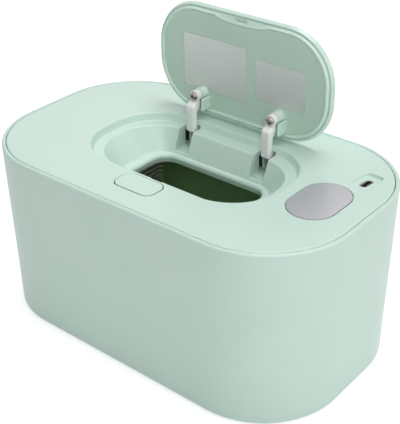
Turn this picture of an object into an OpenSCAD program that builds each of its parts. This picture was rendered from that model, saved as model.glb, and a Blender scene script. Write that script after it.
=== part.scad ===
// Countertop wipe warmer: a drafted tub with a lined bin, a lift-off heated deck,
// and a small lid on two gooseneck arms. The lid is drawn standing open.
// X runs along the length, the hinge side is +Y, and z = 0 is the table.

/* [Body] */
// Length of the tub at its rim
body_w = 225; // [215:1:240]
// Depth of the tub at its rim
body_d = 136; // [132:1:150]
// Height from the table to the deck's top face
body_h = 106.5; // [98:0.5:130]
// Radius of the tub's upright corners at its rim
body_r = 51; // [46:1:56]
// Draw-in of each side between the rim and the foot
body_draft = 2; // [0.5:0.5:3]
// Wall of the tub above its inner step
shell_wall = 2.4; // [2.2:0.1:2.8]
// Floor of the tub
shell_floor = 2.4; // [2:0.1:3]
// Width of the step that carries the bin's flange
step_w = 1.6; // [1.4:0.1:2]
// Rounding of the rim's outer edge
rim_round = 1.3; // [0.6:0.1:1.8]
// Rounding of the foot's outer edge
foot_round = 1; // [0.5:0.1:2]

/* [Feet] */
// Height of the rubber feet below the tub
foot_lift = 1; // [0.6:0.1:3]
// Diameter of a rubber foot
foot_dia = 12; // [10:0.5:16]
// Depth of a foot's seat in the tub
foot_seat = 1; // [0.8:0.1:1.2]
// Distance between the feet along X
foot_span_x = 140; // [110:1:150]
// Distance between the feet along Y
foot_span_y = 76; // [56:1:80]

/* [Bin] */
// Wall of the bin
bin_wall = 1.6; // [1.2:0.1:2.2]
// Length of the bin inside, from one ribbed end wall to the other
bin_l = 152; // [146:1:156]
// Radius of the bin's upright corners
bin_r = 5; // [5:0.5:7]
// Space for foam between the bin's long walls and the tub
foam_space = 5.5; // [5:0.5:7]
// Thickness of the foam pad under the bin
base_foam = 4; // [3:0.5:6]
// Number of ribs on each end wall of the bin
bin_ribs = 9; // [3:1:12]
// Pitch of the ribs
rib_pitch = 3; // [2.5:0.5:4]

/* [Deck] */
// Clearance between the deck and the tub's rim
deck_gap = 0.3; // [0.2:0.05:0.5]
// Thickness of the deck's top panel
panel_t = 2.2; // [1.8:0.1:2.6]
// Wall of the deck's skirt and wells
deck_wall = 1.8; // [1.5:0.1:2.2]
// Depth of the deck from its top face to its lower cover
deck_depth = 24.2; // [23.6:0.1:26]
// Thickness of the deck's lower cover
cover_t = 1.8; // [1.5:0.1:2.5]
// Height of the silicone gasket under the deck
gasket_t = 1.4; // [1:0.1:2]

/* [Recess and basin] */
// Length of the lid's recess at the panel
seat_w = 123.6; // [122:0.2:130]
// Depth of the lid's recess at the panel, front to back
seat_d = 69.8; // [69.4:0.2:74]
// Corner radius of the recess
seat_r = 30.4; // [27:0.2:33]
// Drop from the panel to the recess's ledge
seat_drop = 4.6; // [4.5:0.1:5.5]
// Lean of the recess's wall
seat_lean = 1.2; // [0.6:0.1:1.4]
// Width of the ledge around the basin
ledge_w = 6; // [5:0.1:6.6]
// Drop from the panel to the mouth's rim
mouth_drop = 20.2; // [19.6:0.1:21]
// Length of the mouth
mouth_w = 78; // [70:0.5:84]
// Depth of the mouth, front to back
mouth_d = 39.2; // [34:0.2:41]
// Corner radius of the mouth
mouth_r = 8.6; // [6:0.2:12]

/* [Lid] */
// Gap between the lid's ends and the recess
lid_gap_side = 0.9; // [0.6:0.1:2]
// Gap between the lid's front edge and the recess
lid_gap_front = 0.6; // [0.5:0.1:1]
// Gap between the lid's rear edge and the recess
lid_gap_rear = 1.8; // [1.6:0.1:2.4]
// Height of the lid's outer rim
lid_rim_h = 3; // [2.6:0.1:3.2]
// Lean of the lid's outer rim
lid_lean = 0.9; // [0.8:0.1:1.3]
// Thickness of the lid's outer skin
lid_skin = 1.4; // [1.2:0.1:1.6]
// Width of the lid's outer rim
lid_rim_w = 1.3; // [1:0.1:1.6]
// Width of the groove inside the rim
lid_groove = 0.7; // [0.5:0.1:1]
// Width of the raised ring
ring_w = 1.9; // [1.4:0.1:2.6]
// Height of the raised ring above the lid's inner face
ring_h = 1.3; // [0.6:0.1:1.4]
// Length of the catch tab on the ring
tab_w = 36; // [28:1:44]
// How far the catch tab bulges inward
tab_bulge = 4.5; // [3:0.5:6]
// How far the lid is turned open, 0 when closed
lid_open = 90; // [0:15:90]

/* [Hinge] */
// Distance of the hinge axis behind the recess
hinge_back = 5.1; // [4.9:0.1:5.5]
// Drop from the panel to the hinge axis
hinge_drop = 6.5; // [6.3:0.1:6.7]
// Distance between the two hinge arms
arm_span = 54.4; // [44:0.2:62]
// Width of a hinge arm
arm_w = 5.4; // [4.6:0.1:6]
// Thickness of a hinge arm
arm_t = 4; // [3.6:0.1:4.3]
// Distance from the hinge axis to the arm's outer face
arm_throw = 10; // [9.8:0.1:10.2]
// Height of the arm's screw above the panel, lid open
screw_rise = 14.9; // [14:0.1:16]
// Gap on each side of an arm in its pocket
pocket_side = 2.1; // [2:0.1:3]
// Height of the lid's bosses that the arms are screwed to
boss_h = 5; // [4:0.1:5.4]
// Diameter of the hinge pin
pin_dia = 2; // [1.6:0.1:2.4]
// Running clearance of the pin, on the radius
pin_play = 0.05; // [0.02:0.01:0.08]

/* [Release] */
// Length of the release button
button_w = 26; // [22:0.5:32]
// Depth of the release button, front to back
button_d = 14.5; // [13.5:0.5:15.5]
// Corner radius of the release button
button_r = 5; // [3:0.5:6.5]
// Distance of the button's centre in front of the recess
button_front = 9.1; // [8.9:0.1:9.7]
// Gap around the button
button_gap = 0.3; // [0.2:0.05:0.5]
// Travel of the button
button_travel = 1.4; // [1:0.1:1.6]

/* [Display and inlet] */
// Length of the display window along Y
window_l = 39.6; // [34:0.2:44]
// Width of the display window
window_w = 26.4; // [22:0.2:28]
// Distance of the window's centre from the deck's end
window_end = 26.6; // [25:0.2:28]
// Distance of the inlet from the deck's end
inlet_end = 17.9; // [17:0.1:19]
// Distance of the inlet from the deck's rear edge
inlet_rear = 34.1; // [33:0.1:35.5]
// Width of the inlet's sloped recess
inlet_pad_w = 11; // [9.4:0.2:11.6]
// Length of the inlet's sloped recess
inlet_pad_l = 18.4; // [16:0.2:20]
// Depth of the inlet's sloped recess at its rear
inlet_sink = 1.8; // [1:0.1:2]

/* [Labels] */
// Thickness of a label
label_t = 0.15; // [0.1:0.05:0.3]
// Length of the left label
left_label_w = 45; // [36:1:50]
// Height of the left label
left_label_h = 32.6; // [24:0.2:36]
// Place of the left label along X
left_label_x = -18.9; // [-24:0.1:-14]
// Height of the left label's centre above the panel, lid open
left_label_rise = 32.3; // [30:0.1:38]
// Length of the right label
right_label_w = 33.2; // [24:0.2:38]
// Height of the right label
right_label_h = 23.7; // [18:0.1:28]
// Place of the right label along X
right_label_x = 27.4; // [22:0.1:32]
// Height of the right label's centre above the panel, lid open
right_label_rise = 32.15; // [28:0.05:38]

/* [Boards and heater] */
// Margin between the deck's end and the heater plate
plate_end = 30.8; // [26:0.2:36]
// Margin between the deck's long side and the heater plate
plate_side = 17.3; // [14:0.1:20]
// Length of the control board along X
board_w = 37; // [33:0.5:40]
// Gap between the deck's end and the control board
board_end = 4.8; // [4.4:0.1:8]
// Margin between the deck's long sides and the control board
board_side = 27.3; // [26:0.1:34]
// Thickness of the control board
board_t = 1.6; // [1:0.1:2]
// Thickness of the display board
small_board_t = 1.2; // [0.8:0.1:1.6]
// Width of the display board
small_board_w = 13.4; // [12:0.2:13.6]
// Distance of the end screws from the deck's end
boss_end = 23.8; // [22:0.2:28]
// Distance of the end screws from the deck's long side
boss_side = 21.3; // [19:0.1:25]

/* [Hidden] */

mint = "#c6ded3";
mint_inner = "#a9c2b3";
white_nylon = "#e6e9e6";
foam_grey = "#b9bcbc";
steel = "#b8b6b2";
dark_rubber = "#3b3d3c";
board_green = "#2f6b45";

$fn = 64;
// Steps in each corner of a lofted outline
corner_steps = 14;
corner_steps_small = 9;

top = body_h;
z_base = foot_lift;
deck_x = body_w - 2 * (shell_wall + deck_gap);
deck_y = body_d - 2 * (shell_wall + deck_gap);
deck_r = body_r - shell_wall - deck_gap;
skirt_inset = 0.9;
z_cover = top - deck_depth;
z_gasket = z_cover - cover_t;
z_flange = z_gasket - gasket_t;
flange_t = 1.6;
foot_edge = 0.4;
// Depth of a base screw's seat above its foot
head_seat = 1.8;
z_step = z_flange - flange_t;
shell_in_z = z_base + shell_floor;
foam_gap = 0.3;
z_bin = shell_in_z + base_foam + 2 * foam_gap;

seat_z = top - seat_drop;
basin_w = seat_w - 2 * seat_lean - 2 * ledge_w + 2;
basin_d = seat_d - 2 * seat_lean - 2 * ledge_w - 1.6;
basin_r = seat_r - seat_lean - ledge_w + 2;
mouth_z = top - mouth_drop;
throat_w = mouth_w - 0.6;
throat_d = mouth_d - 0.6;
throat_r = mouth_r - 0.3;

lid_w = seat_w - 2 * lid_gap_side;
lid_r = seat_r - lid_gap_side;
lid_front = -seat_d / 2 + lid_gap_front;
lid_rear = seat_d / 2 - lid_gap_rear;
lid_d = lid_rear - lid_front;
lid_y = (lid_rear + lid_front) / 2;
liner_inset = lid_rim_w + lid_groove;
lid_face = top - lid_rim_h;
ring_face = lid_face - ring_h;
liner_t = lid_rim_h - lid_skin;

hinge_y = seat_d / 2 + hinge_back;
hinge_z = top - hinge_drop;
pocket_w = arm_w + 2 * pocket_side;
pocket_floor = hinge_z - arm_throw - 0.7;
// The pocket widens behind the basin's wall, in front of the plates that hold the pin
pocket_wide = 3.8;
wide_from = hinge_y - 8;
wide_to = hinge_y - 4.6;
screw_y = hinge_y - screw_rise - hinge_drop;
cheek_t = 1.6;
eye_r = pin_dia / 2 + 2;
// Where an arm's collar meets its boss, measured from the hinge axis
collar_end = hinge_drop - lid_rim_h - boss_h;
collar_r = 3.2;
screw_head_r = 2.6;

button_y = seat_d / 2 + button_front;
window_x = deck_x / 2 - window_end;
inlet_x = deck_x / 2 - inlet_end;
inlet_y = deck_y / 2 - inlet_rear;
inlet_slot_w = 4.2;
inlet_slot_l = 10.2;
skirt_in_y = deck_y / 2 - skirt_inset - deck_wall;

// Where the hook stands, in the lid's slot
slot_y = lid_front + 3.8;
hook_t = 0.8;
hook_w = 6.6;
slide_back = 8.2;
latch_travel = button_travel / 2;
latch_top = top - 8;
latch_t = 1.5;
latch_w = 18;

boss_points = [for (sx = [-1, 1], sy = [-1, 1], p = [
    [deck_x / 2 - boss_end, deck_y / 2 - boss_side],
    [seat_w / 2 - 13.8, deck_y / 2 - 9.8]])
  [sx * p[0], sy * p[1]]];
foot_points = [for (sx = [-1, 1], sy = [-1, 1]) [sx * foot_span_x / 2, sy * foot_span_y / 2]];
board_z = top - 12;
board_x1 = deck_x / 2 - board_end;
board_x0 = board_x1 - board_w;
board_y = deck_y / 2 - board_side;
small_board_z = top - 6.4;
small_board_l = window_l + 6.4;
small_post_y = small_board_l / 2 - 2.6;
board_posts = [for (s = [-1, 1], p = [[board_x0 + 3.5, board_y - 4], [board_x1 - 3, board_y - 17]])
  [p[0], s * p[1]]];
link_y = -board_y + 22;
deck_screw_l = 9;
board_screw_l = 6;
small_screw_l = 4.2;
film_top = z_cover + 1.4;
pad_t = 1.6;
plate_w = deck_x - 2 * plate_end;
plate_d = deck_y - 2 * plate_side;
// Notch in the heater's layers that leaves room for the latch's supports
latch_notch = latch_w + 6;
latch_notch_y = -button_y + 5;
// The felt stops here, and the fuse and the sensor lie beyond it
pad_end = plate_w / 2 - 16;

// Points of a rounded rectangle at one height, counter-clockwise
function ring(w, d, r, z, steps = corner_steps, cy = 0) = [
  for (q = [0:3], i = [0:steps])
    let (a = 90 * (q + i / steps), sx = (q == 0 || q == 3) ? 1 : -1, sy = q < 2 ? 1 : -1)
      [sx * (w / 2 - r) + r * cos(a), cy + sy * (d / 2 - r) + r * sin(a), z]
];

// The tub's outline at a height, drawn in from the rim by its draft
function draft_at(z) = body_draft * (top - z) / (top - z_base);
function tub_ring(inset, z) = let (i = inset + draft_at(z))
  ring(body_w - 2 * i, body_d - 2 * i, body_r - i, z);

// A closed solid through outlines listed from the lowest to the highest
module loft(rings) {
  n = len(rings[0]);
  m = len(rings);
  polyhedron(
    points = [for (r = rings) each r],
    faces = concat(
      [[for (i = [0:n - 1]) i]],
      [for (k = [0:m - 2], i = [0:n - 1])
        [k * n + i, (k + 1) * n + i, (k + 1) * n + (i + 1) % n, k * n + (i + 1) % n]],
      [[for (i = [n - 1:-1:0]) (m - 1) * n + i]]),
    convexity = 8);
}

// A plate with rounded upright corners between two heights
module slab(w, d, r, z0, z1, cx = 0, cy = 0) {
  translate([cx, cy, z0]) {
    translate([-w / 2 + r, -d / 2, 0]) cube([w - 2 * r, d, z1 - z0]);
    translate([-w / 2, -d / 2 + r, 0]) cube([w, d - 2 * r, z1 - z0]);
    for (sx = [-1, 1], sy = [-1, 1])
      translate([sx * (w / 2 - r), sy * (d / 2 - r), 0]) cylinder(r = r, h = z1 - z0, $fn = 96);
  }
}

// A slot-shaped plate that lies along Y
module stadium(w, l, z0, z1, cx = 0, cy = 0) {
  translate([cx, cy, z0]) {
    translate([-w / 2, -l / 2 + w / 2, 0]) cube([w, l - w, z1 - z0]);
    for (s = [-1, 1])
      translate([0, s * (l - w) / 2, 0]) cylinder(d = w, h = z1 - z0, $fn = 72);
  }
}

// A box given by its lowest and highest corners
module block(lo, hi) {
  translate(lo) cube(hi - lo);
}

module post(r, z0, z1) {
  translate([0, 0, z0]) cylinder(r = r, h = z1 - z0, $fn = 32);
}

// A round wire along a list of points
module wire(points, r, sides = 6) {
  n = len(points);
  function along(i) = let (d = points[min(i + 1, n - 1)] - points[max(i - 1, 0)]) d / norm(d);
  function side(t) = let (s = cross(t, abs(t[2]) < 0.9 ? [0, 0, 1] : [1, 0, 0])) s / norm(s);
  rings = [for (i = [0:n - 1]) let (t = along(i), u = side(t), v = cross(t, u))
    [for (k = [0:sides - 1]) points[i] + r * (cos(360 * k / sides) * u + sin(360 * k / sides) * v)]];
  loft(rings);
}

// Points of a coil about the Z axis
function coil(r, pitch, turns, steps = 8, z0 = 0, start = 0) = [
  for (i = [0:round(turns * steps)])
    let (a = start + 360 * i / steps) [r * cos(a), r * sin(a), z0 + pitch * i / steps]
];

// Turns a piece drawn on the closed lid to where the lid stands
module on_lid() {
  translate([0, hinge_y, hinge_z]) rotate([-lid_open, 0, 0])
    translate([0, -hinge_y, -hinge_z]) children();
}

module outer_shell() color(mint) {
  arc_steps = 4;
  difference() {
    union() {
      loft(concat(
        [for (i = [0:arc_steps]) let (a = 90 * i / arc_steps)
          tub_ring(foot_round * (1 - sin(a)), z_base + foot_round * (1 - cos(a)))],
        [for (i = [0:arc_steps]) let (a = 90 * i / arc_steps)
          tub_ring(rim_round * (1 - cos(a)), top - rim_round * (1 - sin(a)))]));
    }
    difference() {
      loft([
        tub_ring(shell_wall + step_w, shell_in_z),
        tub_ring(shell_wall + step_w, z_step),
        tub_ring(shell_wall, z_step),
        tub_ring(shell_wall, top + 0.1)]);
      for (p = foot_points)
        translate([p[0], p[1], 0]) post(5, z_base, shell_in_z + head_seat);
    }
    for (p = foot_points) translate([p[0], p[1], 0]) {
      post(foot_dia / 2, z_base - 0.1, z_base + foot_seat);
      post(3, z_base, z_base + foot_seat + head_seat);
      post(1.7, z_base, shell_in_z + head_seat + 0.1);
    }
  }
}

// Half the bin's depth outside, at the height of the tub's rim
bin_half_y = body_d / 2 - shell_wall - step_w - foam_space;

// Outline of the bin at an inset from its outer face
function bin_ring(inset, z) = let (lean = draft_at(z))
  ring(bin_l + 2 * (bin_wall - inset - lean), 2 * (bin_half_y - inset - lean), bin_r - inset, z);

// Outline of the inside of the foam sleeve, which follows the tub
function sleeve_ring(z) = tub_ring(shell_wall + step_w + foam_space - foam_gap, z);

module inner_bin() color("#dfe5e1") {
  boss_z = shell_in_z + head_seat + 0.1;
  floor_round = 2.5;
  difference() {
    union() {
      loft([bin_ring(0, z_bin), bin_ring(0, z_flange)]);
      loft([tub_ring(shell_wall + deck_gap, z_step), tub_ring(shell_wall + deck_gap, z_flange)]);
      for (p = foot_points) translate([p[0], p[1], 0]) post(3.5, boss_z, z_bin + 0.5);
    }
    loft([
      bin_ring(bin_wall + floor_round, z_bin + bin_wall),
      bin_ring(bin_wall + floor_round * 0.3, z_bin + bin_wall + floor_round * 0.3),
      bin_ring(bin_wall, z_bin + bin_wall + floor_round),
      bin_ring(bin_wall, z_flange + 0.1)]);
    for (p = foot_points) translate([p[0], p[1], 0]) post(1.27, boss_z - 0.1, z_bin + 0.9);
  }
  for (s = [-1, 1], k = [1:bin_ribs])
    let (z = z_flange - 4 - rib_pitch * k, x = bin_l / 2 - draft_at(z),
      run = 2 * (bin_half_y - bin_r + 1.5 - draft_at(z)))
      translate([s * x, 0, z]) rotate([90, 0, 0])
        translate([0, 0, -run / 2]) cylinder(r = 0.8, h = run, $fn = 24);
}

module insulation_jacket() color(foam_grey) {
  difference() {
    loft([
      tub_ring(shell_wall + step_w + foam_gap, z_bin),
      tub_ring(shell_wall + step_w + foam_gap, z_step - foam_gap)]);
    loft([sleeve_ring(z_bin - 1), sleeve_ring(z_step)]);
    loft([bin_ring(-foam_gap, z_bin - 1), bin_ring(-foam_gap, z_step)]);
  }
}

module insulation_base() color(foam_grey) {
  z0 = shell_in_z;
  difference() {
    loft([
      tub_ring(shell_wall + step_w + foam_gap, z0),
      tub_ring(shell_wall + step_w + foam_gap, z0 + base_foam)]);
    for (p = foot_points) translate([p[0], p[1], 0]) post(5.8, z0 - 1, z0 + base_foam + 1);
  }
}

module rubber_feet() color(dark_rubber)
  for (p = foot_points) translate([p[0], p[1], 0]) {
    post(foot_dia / 2 - 0.05, foot_edge, z_base + foot_seat);
    cylinder(r1 = foot_dia / 2 - 0.05 - foot_edge, r2 = foot_dia / 2 - 0.05, h = foot_edge);
  }

// A pan-head screw whose head hangs below z and whose shank rises from it
module screw_up(z, head_r, head_h, r, len) {
  slot = 0.35 * head_r;
  difference() {
    union() {
      post(head_r, z - head_h, z);
      post(r, z - 0.1, z + len);
    }
    for (a = [0, 90]) rotate([0, 0, a])
      block([-0.6 * head_r, -slot / 2, z - head_h - 0.1], [0.6 * head_r, slot / 2, z - head_h * 0.4]);
  }
}

module base_screws() color(steel)
  for (p = foot_points) translate([p[0], p[1], 0])
    screw_up(z_base + foot_seat + head_seat, 2.8, 1.6, 1.25, z_bin + 0.7 - z_base - foot_seat - head_seat);

// Outline of the basin, from its edge on the ledge down to the mouth
function basin_rings(t) =
  let (floor_top = mouth_z + 2.4, wall_in = 3.1, bend = 5, steps = corner_steps_small)
  concat(
    [ring(throat_w + 2 * t, throat_d + 2 * t, throat_r + t, z_cover - 0.1, steps),
     ring(throat_w + 2 * t, throat_d + 2 * t, throat_r + t, mouth_z - 0.8 - t, steps),
     ring(mouth_w + 2 * t, mouth_d + 2 * t, mouth_r + t, mouth_z - t, steps)],
    [for (i = [0:4]) let (a = 90 * i / 4, k = sin(a), zk = 1 - cos(a),
        w0 = mouth_w + 4, w1 = basin_w - 2 * wall_in,
        d0 = mouth_d + 1.6, d1 = basin_d - 2 * wall_in,
        r0 = mouth_r + 1.5, r1 = basin_r - wall_in)
      ring(w0 + (w1 - w0) * k + 2 * t, d0 + (d1 - d0) * k + 2 * t, r0 + (r1 - r0) * k + t,
        mouth_z + 0.4 + (floor_top - mouth_z - 0.4) * k + bend * zk * 0.8 - t * (1 - zk), steps)],
    [ring(basin_w + 2 * t, basin_d + 2 * t, basin_r + t, seat_z - 0.5, steps)]);

// Room for an arm, from the ledge down and back past its pin
module hinge_pocket(x) {
  x0 = x - pocket_w / 2;
  x1 = x + pocket_w / 2;
  back = hinge_y + 6;
  open_from = hinge_y - 8.5;
  block([x0, 0, pocket_floor], [x1, seat_d / 2 - seat_lean - 0.5, seat_z + 0.5]);
  block([x0, 10, pocket_floor], [x1, back, hinge_z + eye_r + 0.4]);
  block([x0, 10, hinge_z], [x1, hinge_y - arm_throw + arm_t + 0.4, top - 1.4]);
  block([x0, open_from, pocket_floor - 3], [x1, back, hinge_z]);
  block([x0 - pocket_wide, wide_from, pocket_floor - 3], [x1 + pocket_wide, wide_to, hinge_z - 0.8]);
}

module top_panel() color(mint) {
  well_t = deck_wall;
  sk = skirt_inset;
  skirt_z = z_cover;
  difference() {
    union() {
      slab(deck_x, deck_y, deck_r, top - panel_t, top);
      difference() {
        slab(deck_x - 2 * sk, deck_y - 2 * sk, deck_r - sk, skirt_z, top - 1);
        slab(deck_x - 2 * sk - 2 * deck_wall, deck_y - 2 * sk - 2 * deck_wall,
          deck_r - sk - deck_wall, skirt_z - 0.1, top - panel_t);
      }
      slab(seat_w + 2 * well_t, seat_d + 2 * well_t, seat_r + well_t, seat_z - 2, top - 1);
      loft(basin_rings(deck_wall));
      slab(basin_w + 2 * deck_wall, basin_d + 2 * deck_wall, basin_r + deck_wall, seat_z - 1.5, seat_z - 0.2);
      for (s = [-1, 1]) {
        x = s * arm_span / 2;
        block([x - pocket_w / 2 - cheek_t, 22, pocket_floor - cheek_t],
          [x + pocket_w / 2 + cheek_t, hinge_y + 5, top - panel_t + 0.5]);
        block([x - pocket_w / 2 - pocket_wide - cheek_t, wide_from - cheek_t, pocket_floor - cheek_t],
          [x + pocket_w / 2 + pocket_wide + cheek_t, wide_to + cheek_t, top - panel_t + 0.5]);
      }
      intersection() {
        union() {
          stadium(window_w + 4.6, window_l + 4.6, top - 3.6, top - 1, window_x);
          block([inlet_x - inlet_pad_w / 2 - 1.2, inlet_y - 12, top - 4.2],
            [inlet_x + inlet_pad_w / 2 + 1.2, inlet_y + 12, top - 1]);
        }
        slab(deck_x - 2 * sk, deck_y - 2 * sk, deck_r - sk, skirt_z, top);
      }
      for (s = [-1, 1]) {
        x = s * (button_w / 2 + button_gap + 0.8);
        block([x - 0.8, -button_y - 5, top - 6.5], [x + 0.8, -button_y + 5, top - 1]);
      }
      for (p = boss_points) translate([p[0], p[1], 0]) post(3.2, z_cover, top - 1);
      for (p = board_posts) translate([p[0], p[1], 0]) post(2.4, board_z, top - 1);
      for (s = [-1, 1]) translate([window_x, s * (small_post_y), 0])
        post(1.9, small_board_z, top - 3);
    }
    loft([
      ring(seat_w - 2 * seat_lean, seat_d - 2 * seat_lean, seat_r - seat_lean, seat_z, corner_steps_small),
      ring(seat_w, seat_d, seat_r, top, corner_steps_small),
      ring(seat_w, seat_d, seat_r, top + 1, corner_steps_small)]);
    loft(concat(basin_rings(0),
      [ring(basin_w + 0.5, basin_d + 0.5, basin_r + 0.25, seat_z + 0.1, corner_steps_small)]));
    for (s = [-1, 1]) hinge_pocket(s * arm_span / 2);
    translate([0, hinge_y, hinge_z]) rotate([0, 90, 0])
      translate([0, 0, -arm_span]) cylinder(r = pin_dia / 2 + pin_play, h = 2 * arm_span, $fn = 48);
    slab(button_w + 2 * button_gap, button_d + 2 * button_gap, button_r + button_gap,
      top - panel_t - 0.1, top + 1, 0, -button_y);
    // The hook's way through the ledge
    block([-hook_w / 2 - 0.3, slot_y - 0.9 - latch_travel, seat_z - 3],
      [hook_w / 2 + 0.3, slot_y + 0.9, seat_z + 0.1]);
    stadium(window_w + 0.6, window_l + 0.6, top - 1.9, top + 1, window_x);
    stadium(window_w - 3.4, window_l - 3.4, top - 5, top, window_x);
    inlet_recess();
    stadium(inlet_slot_w, inlet_slot_l, top - 6, top + 1, inlet_x, inlet_y);
    for (p = boss_points) translate([p[0], p[1], 0]) post(1.12, z_cover - 0.1, z_cover + 12);
    for (p = board_posts) translate([p[0], p[1], 0]) post(0.87, board_z - 0.1, board_z + 5);
    for (s = [-1, 1]) translate([window_x, s * (small_post_y), 0])
      post(0.87, small_board_z - 0.1, small_board_z + 3.4);
  }
}

// A ramp that is deepest at the rear, with rounded rear corners
module inlet_recess() {
  y1 = inlet_y + inlet_pad_l / 2 + 0.6;
  y0 = y1 - inlet_pad_l;
  intersection() {
    translate([inlet_x - inlet_pad_w / 2, 0, 0]) rotate([90, 0, 90])
      linear_extrude(inlet_pad_w)
        polygon([[y0, top], [y1, top - inlet_sink], [y1, top + 1], [y0, top + 1]]);
    slab(inlet_pad_w, inlet_pad_l + 10, 3, top - 5, top + 2, inlet_x, y1 - inlet_pad_l / 2 - 5);
  }
}

module deck_underside() color(mint) {
  sk = skirt_inset;
  difference() {
    union() {
      slab(deck_x - 2 * sk, deck_y - 2 * sk, deck_r - sk, z_gasket, z_cover);
      // Pillars under the latch slide, and rails beside it
      for (s = [-1, 1]) {
        block([s * 6 - 1.5, -button_y - 5.5, z_cover - 0.5],
          [s * 6 + 1.5, -button_y + 3, latch_top - latch_t - 0.1]);
        block([s * (latch_w / 2 + 0.9) - 0.75, -button_y - 7, z_cover - 0.5],
          [s * (latch_w / 2 + 0.9) + 0.75, -button_y + 3, latch_top + 0.9]);
        block([s * (latch_w / 2 + 0.3) - 0.9, -button_y - 7, latch_top + 0.15],
          [s * (latch_w / 2 + 0.3) + 0.9, -button_y + 3, latch_top + 0.9]);
      }
      translate([0, -button_y + 0.5, 0]) post(4, z_cover - 0.5, top - 13);
    }
    difference() {
      slab(plate_w - 12, plate_d - 12, 24, z_gasket - 1, z_cover + 0.1);
      block([-latch_notch / 2 - 2, -body_d, z_gasket - 2], [latch_notch / 2 + 2, latch_notch_y + 2, z_cover + 1]);
    }
    for (p = boss_points) translate([p[0], p[1], 0]) {
      post(2.4, z_gasket - 1, z_gasket + 0.9);
      post(1.3, z_gasket, z_cover + 1);
    }
  }
}

module deck_gasket() color("#d9dcd8") {
  w = deck_x - 2 * skirt_inset - 2;
  d = deck_y - 2 * skirt_inset - 2;
  r = deck_r - skirt_inset - 1;
  difference() {
    slab(w, d, r, z_flange, z_gasket);
    slab(w - 7, d - 7, r - 3.5, z_flange - 1, z_gasket + 1);
  }
}

module deck_screws() color(steel)
  for (p = boss_points) translate([p[0], p[1], 0]) screw_up(z_gasket + 0.9, 2.1, 0.85, 1.1, deck_screw_l);

// A layer of the heater: a plate with the mouth's opening and the latch's notch
module heater_layer(margin, hole, z0, z1) difference() {
  slab(plate_w - 2 * margin, plate_d - 2 * margin, 30 - margin, z0, z1);
  slab(throat_w + 2 * hole, throat_d + 2 * hole, throat_r + hole, z0 - 1, z1 + 1);
  block([-latch_notch / 2 - margin / 2, -plate_d, z0 - 1], [latch_notch / 2 + margin / 2, latch_notch_y, z1 + 1]);
}

module heater_plate() color("#c9ccd0") heater_layer(0, 2.5, z_cover, z_cover + 1);

module heater_film() color("#b3682c") heater_layer(2, 4, z_cover + 1, film_top);

module heater_pad() color("#e8e6de") difference() {
  heater_layer(4, 8, film_top, film_top + pad_t);
  block([pad_end, -plate_d, film_top - 1], [plate_w, plate_d, film_top + 3]);
}

module thermal_fuse() color("#8d8f86")
  translate([pad_end + 7, -5.5, film_top + 2]) rotate([-90, 0, 0]) {
    cylinder(r = 2, h = 11, $fn = 32);
    translate([0, 0, -3.5]) cylinder(r = 0.4, h = 18, $fn = 16);
  }

module temperature_sensor() color("#28292b") {
  translate([pad_end + 7, 20, 0]) {
    post(2.2, film_top, film_top + 1.4);
    for (s = [-1, 1]) translate([s * 0.9, 0, 0]) post(0.35, film_top + 1, board_z - board_t);
  }
}

module heater_leads() color("#c8372d") {
  drop = board_z - board_t - film_top;
  for (y = [-30, -26])
    wire([for (i = [0:8])
      [pad_end + 10.5 + 1.6 * sin(30 * min(6, max(0, i - 1))), y, film_top + drop * i / 8]], 0.6, 8);
}

module control_board() color(board_green) difference() {
  block([board_x0, -board_y, board_z - board_t], [board_x1, board_y, board_z]);
  for (p = board_posts) translate([p[0], p[1], 0]) post(1.1, board_z - 3, board_z + 1);
  // The corners are cut back to clear the skirt
  for (s = [-1, 1]) translate([board_x1, s * board_y, board_z - 3]) rotate([0, 0, 45])
    translate([-6, -6, 0]) cube([12, 12, 5]);
}

module board_chips() color("#222326") {
  under = board_z - board_t;
  mid = (board_x0 + board_x1) / 2;
  block([mid + 1.5, -12, under - board_t], [mid + 8.5, -5, under]);
  block([mid - 8.5, 6, under - 2.4], [mid - 0.5, 12, under]);
  block([mid + 3.5, 4, under - 1.2], [mid + 6.5, 9, under]);
  for (y = [16, 8]) translate([board_x1 - 10, y - board_y, 0]) post(3.2, under - 5.5, under);
  block([mid - 6.5, 7 - board_y, under - 5], [mid + 1.5, 14 - board_y, under]);
}

module board_link() color("#2b2b2e") {
  block([window_x - 6.5, link_y - 1.25, board_z], [window_x + 6.5, link_y + 1.25, small_board_z - small_board_t]);
}

module board_screws() color(steel) {
  for (p = board_posts) translate([p[0], p[1], 0]) screw_up(board_z - board_t, 1.9, 1.1, 0.85, board_screw_l);
  for (s = [-1, 1]) translate([window_x, s * (small_post_y), 0])
    screw_up(small_board_z - small_board_t, 1.7, 1, 0.85, small_screw_l);
}

module display_board() color(board_green) difference() {
  block([window_x - small_board_w / 2, -small_board_l / 2, small_board_z - small_board_t],
    [window_x + small_board_w / 2, small_board_l / 2, small_board_z]);
  for (s = [-1, 1]) translate([window_x, s * (small_post_y), 0])
    post(1.1, small_board_z - 3, small_board_z + 1);
}

module led_display() color("#17181a") difference() {
  block([window_x - small_board_w / 2, -10, small_board_z], [window_x + small_board_w / 2, 10, top - 2.3]);
  // Seven-segment bars sunk into the face, two figures side by side
  for (s = [-1, 1]) translate([window_x, s * 4.6, top - 2.5]) {
    for (x = [-4.4, 0, 4.4]) translate([x, 0, 0]) block([-0.35, -1.7, 0], [0.35, 1.7, 1]);
    for (x = [-2.2, 2.2], y = [-2.3, 2.3]) translate([x, y, 0]) block([-1.6, -0.35, 0], [1.6, 0.35, 1]);
  }
}

module display_window() color("#b6b8be")
  stadium(window_w, window_l, top - 1.8, top, window_x);

module usb_socket() color(steel) difference() {
  stadium(3.26, 8.94, board_z, top - 1.45, inlet_x, inlet_y);
  stadium(2.6, 8.3, board_z + 1, top, inlet_x, inlet_y);
}

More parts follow.
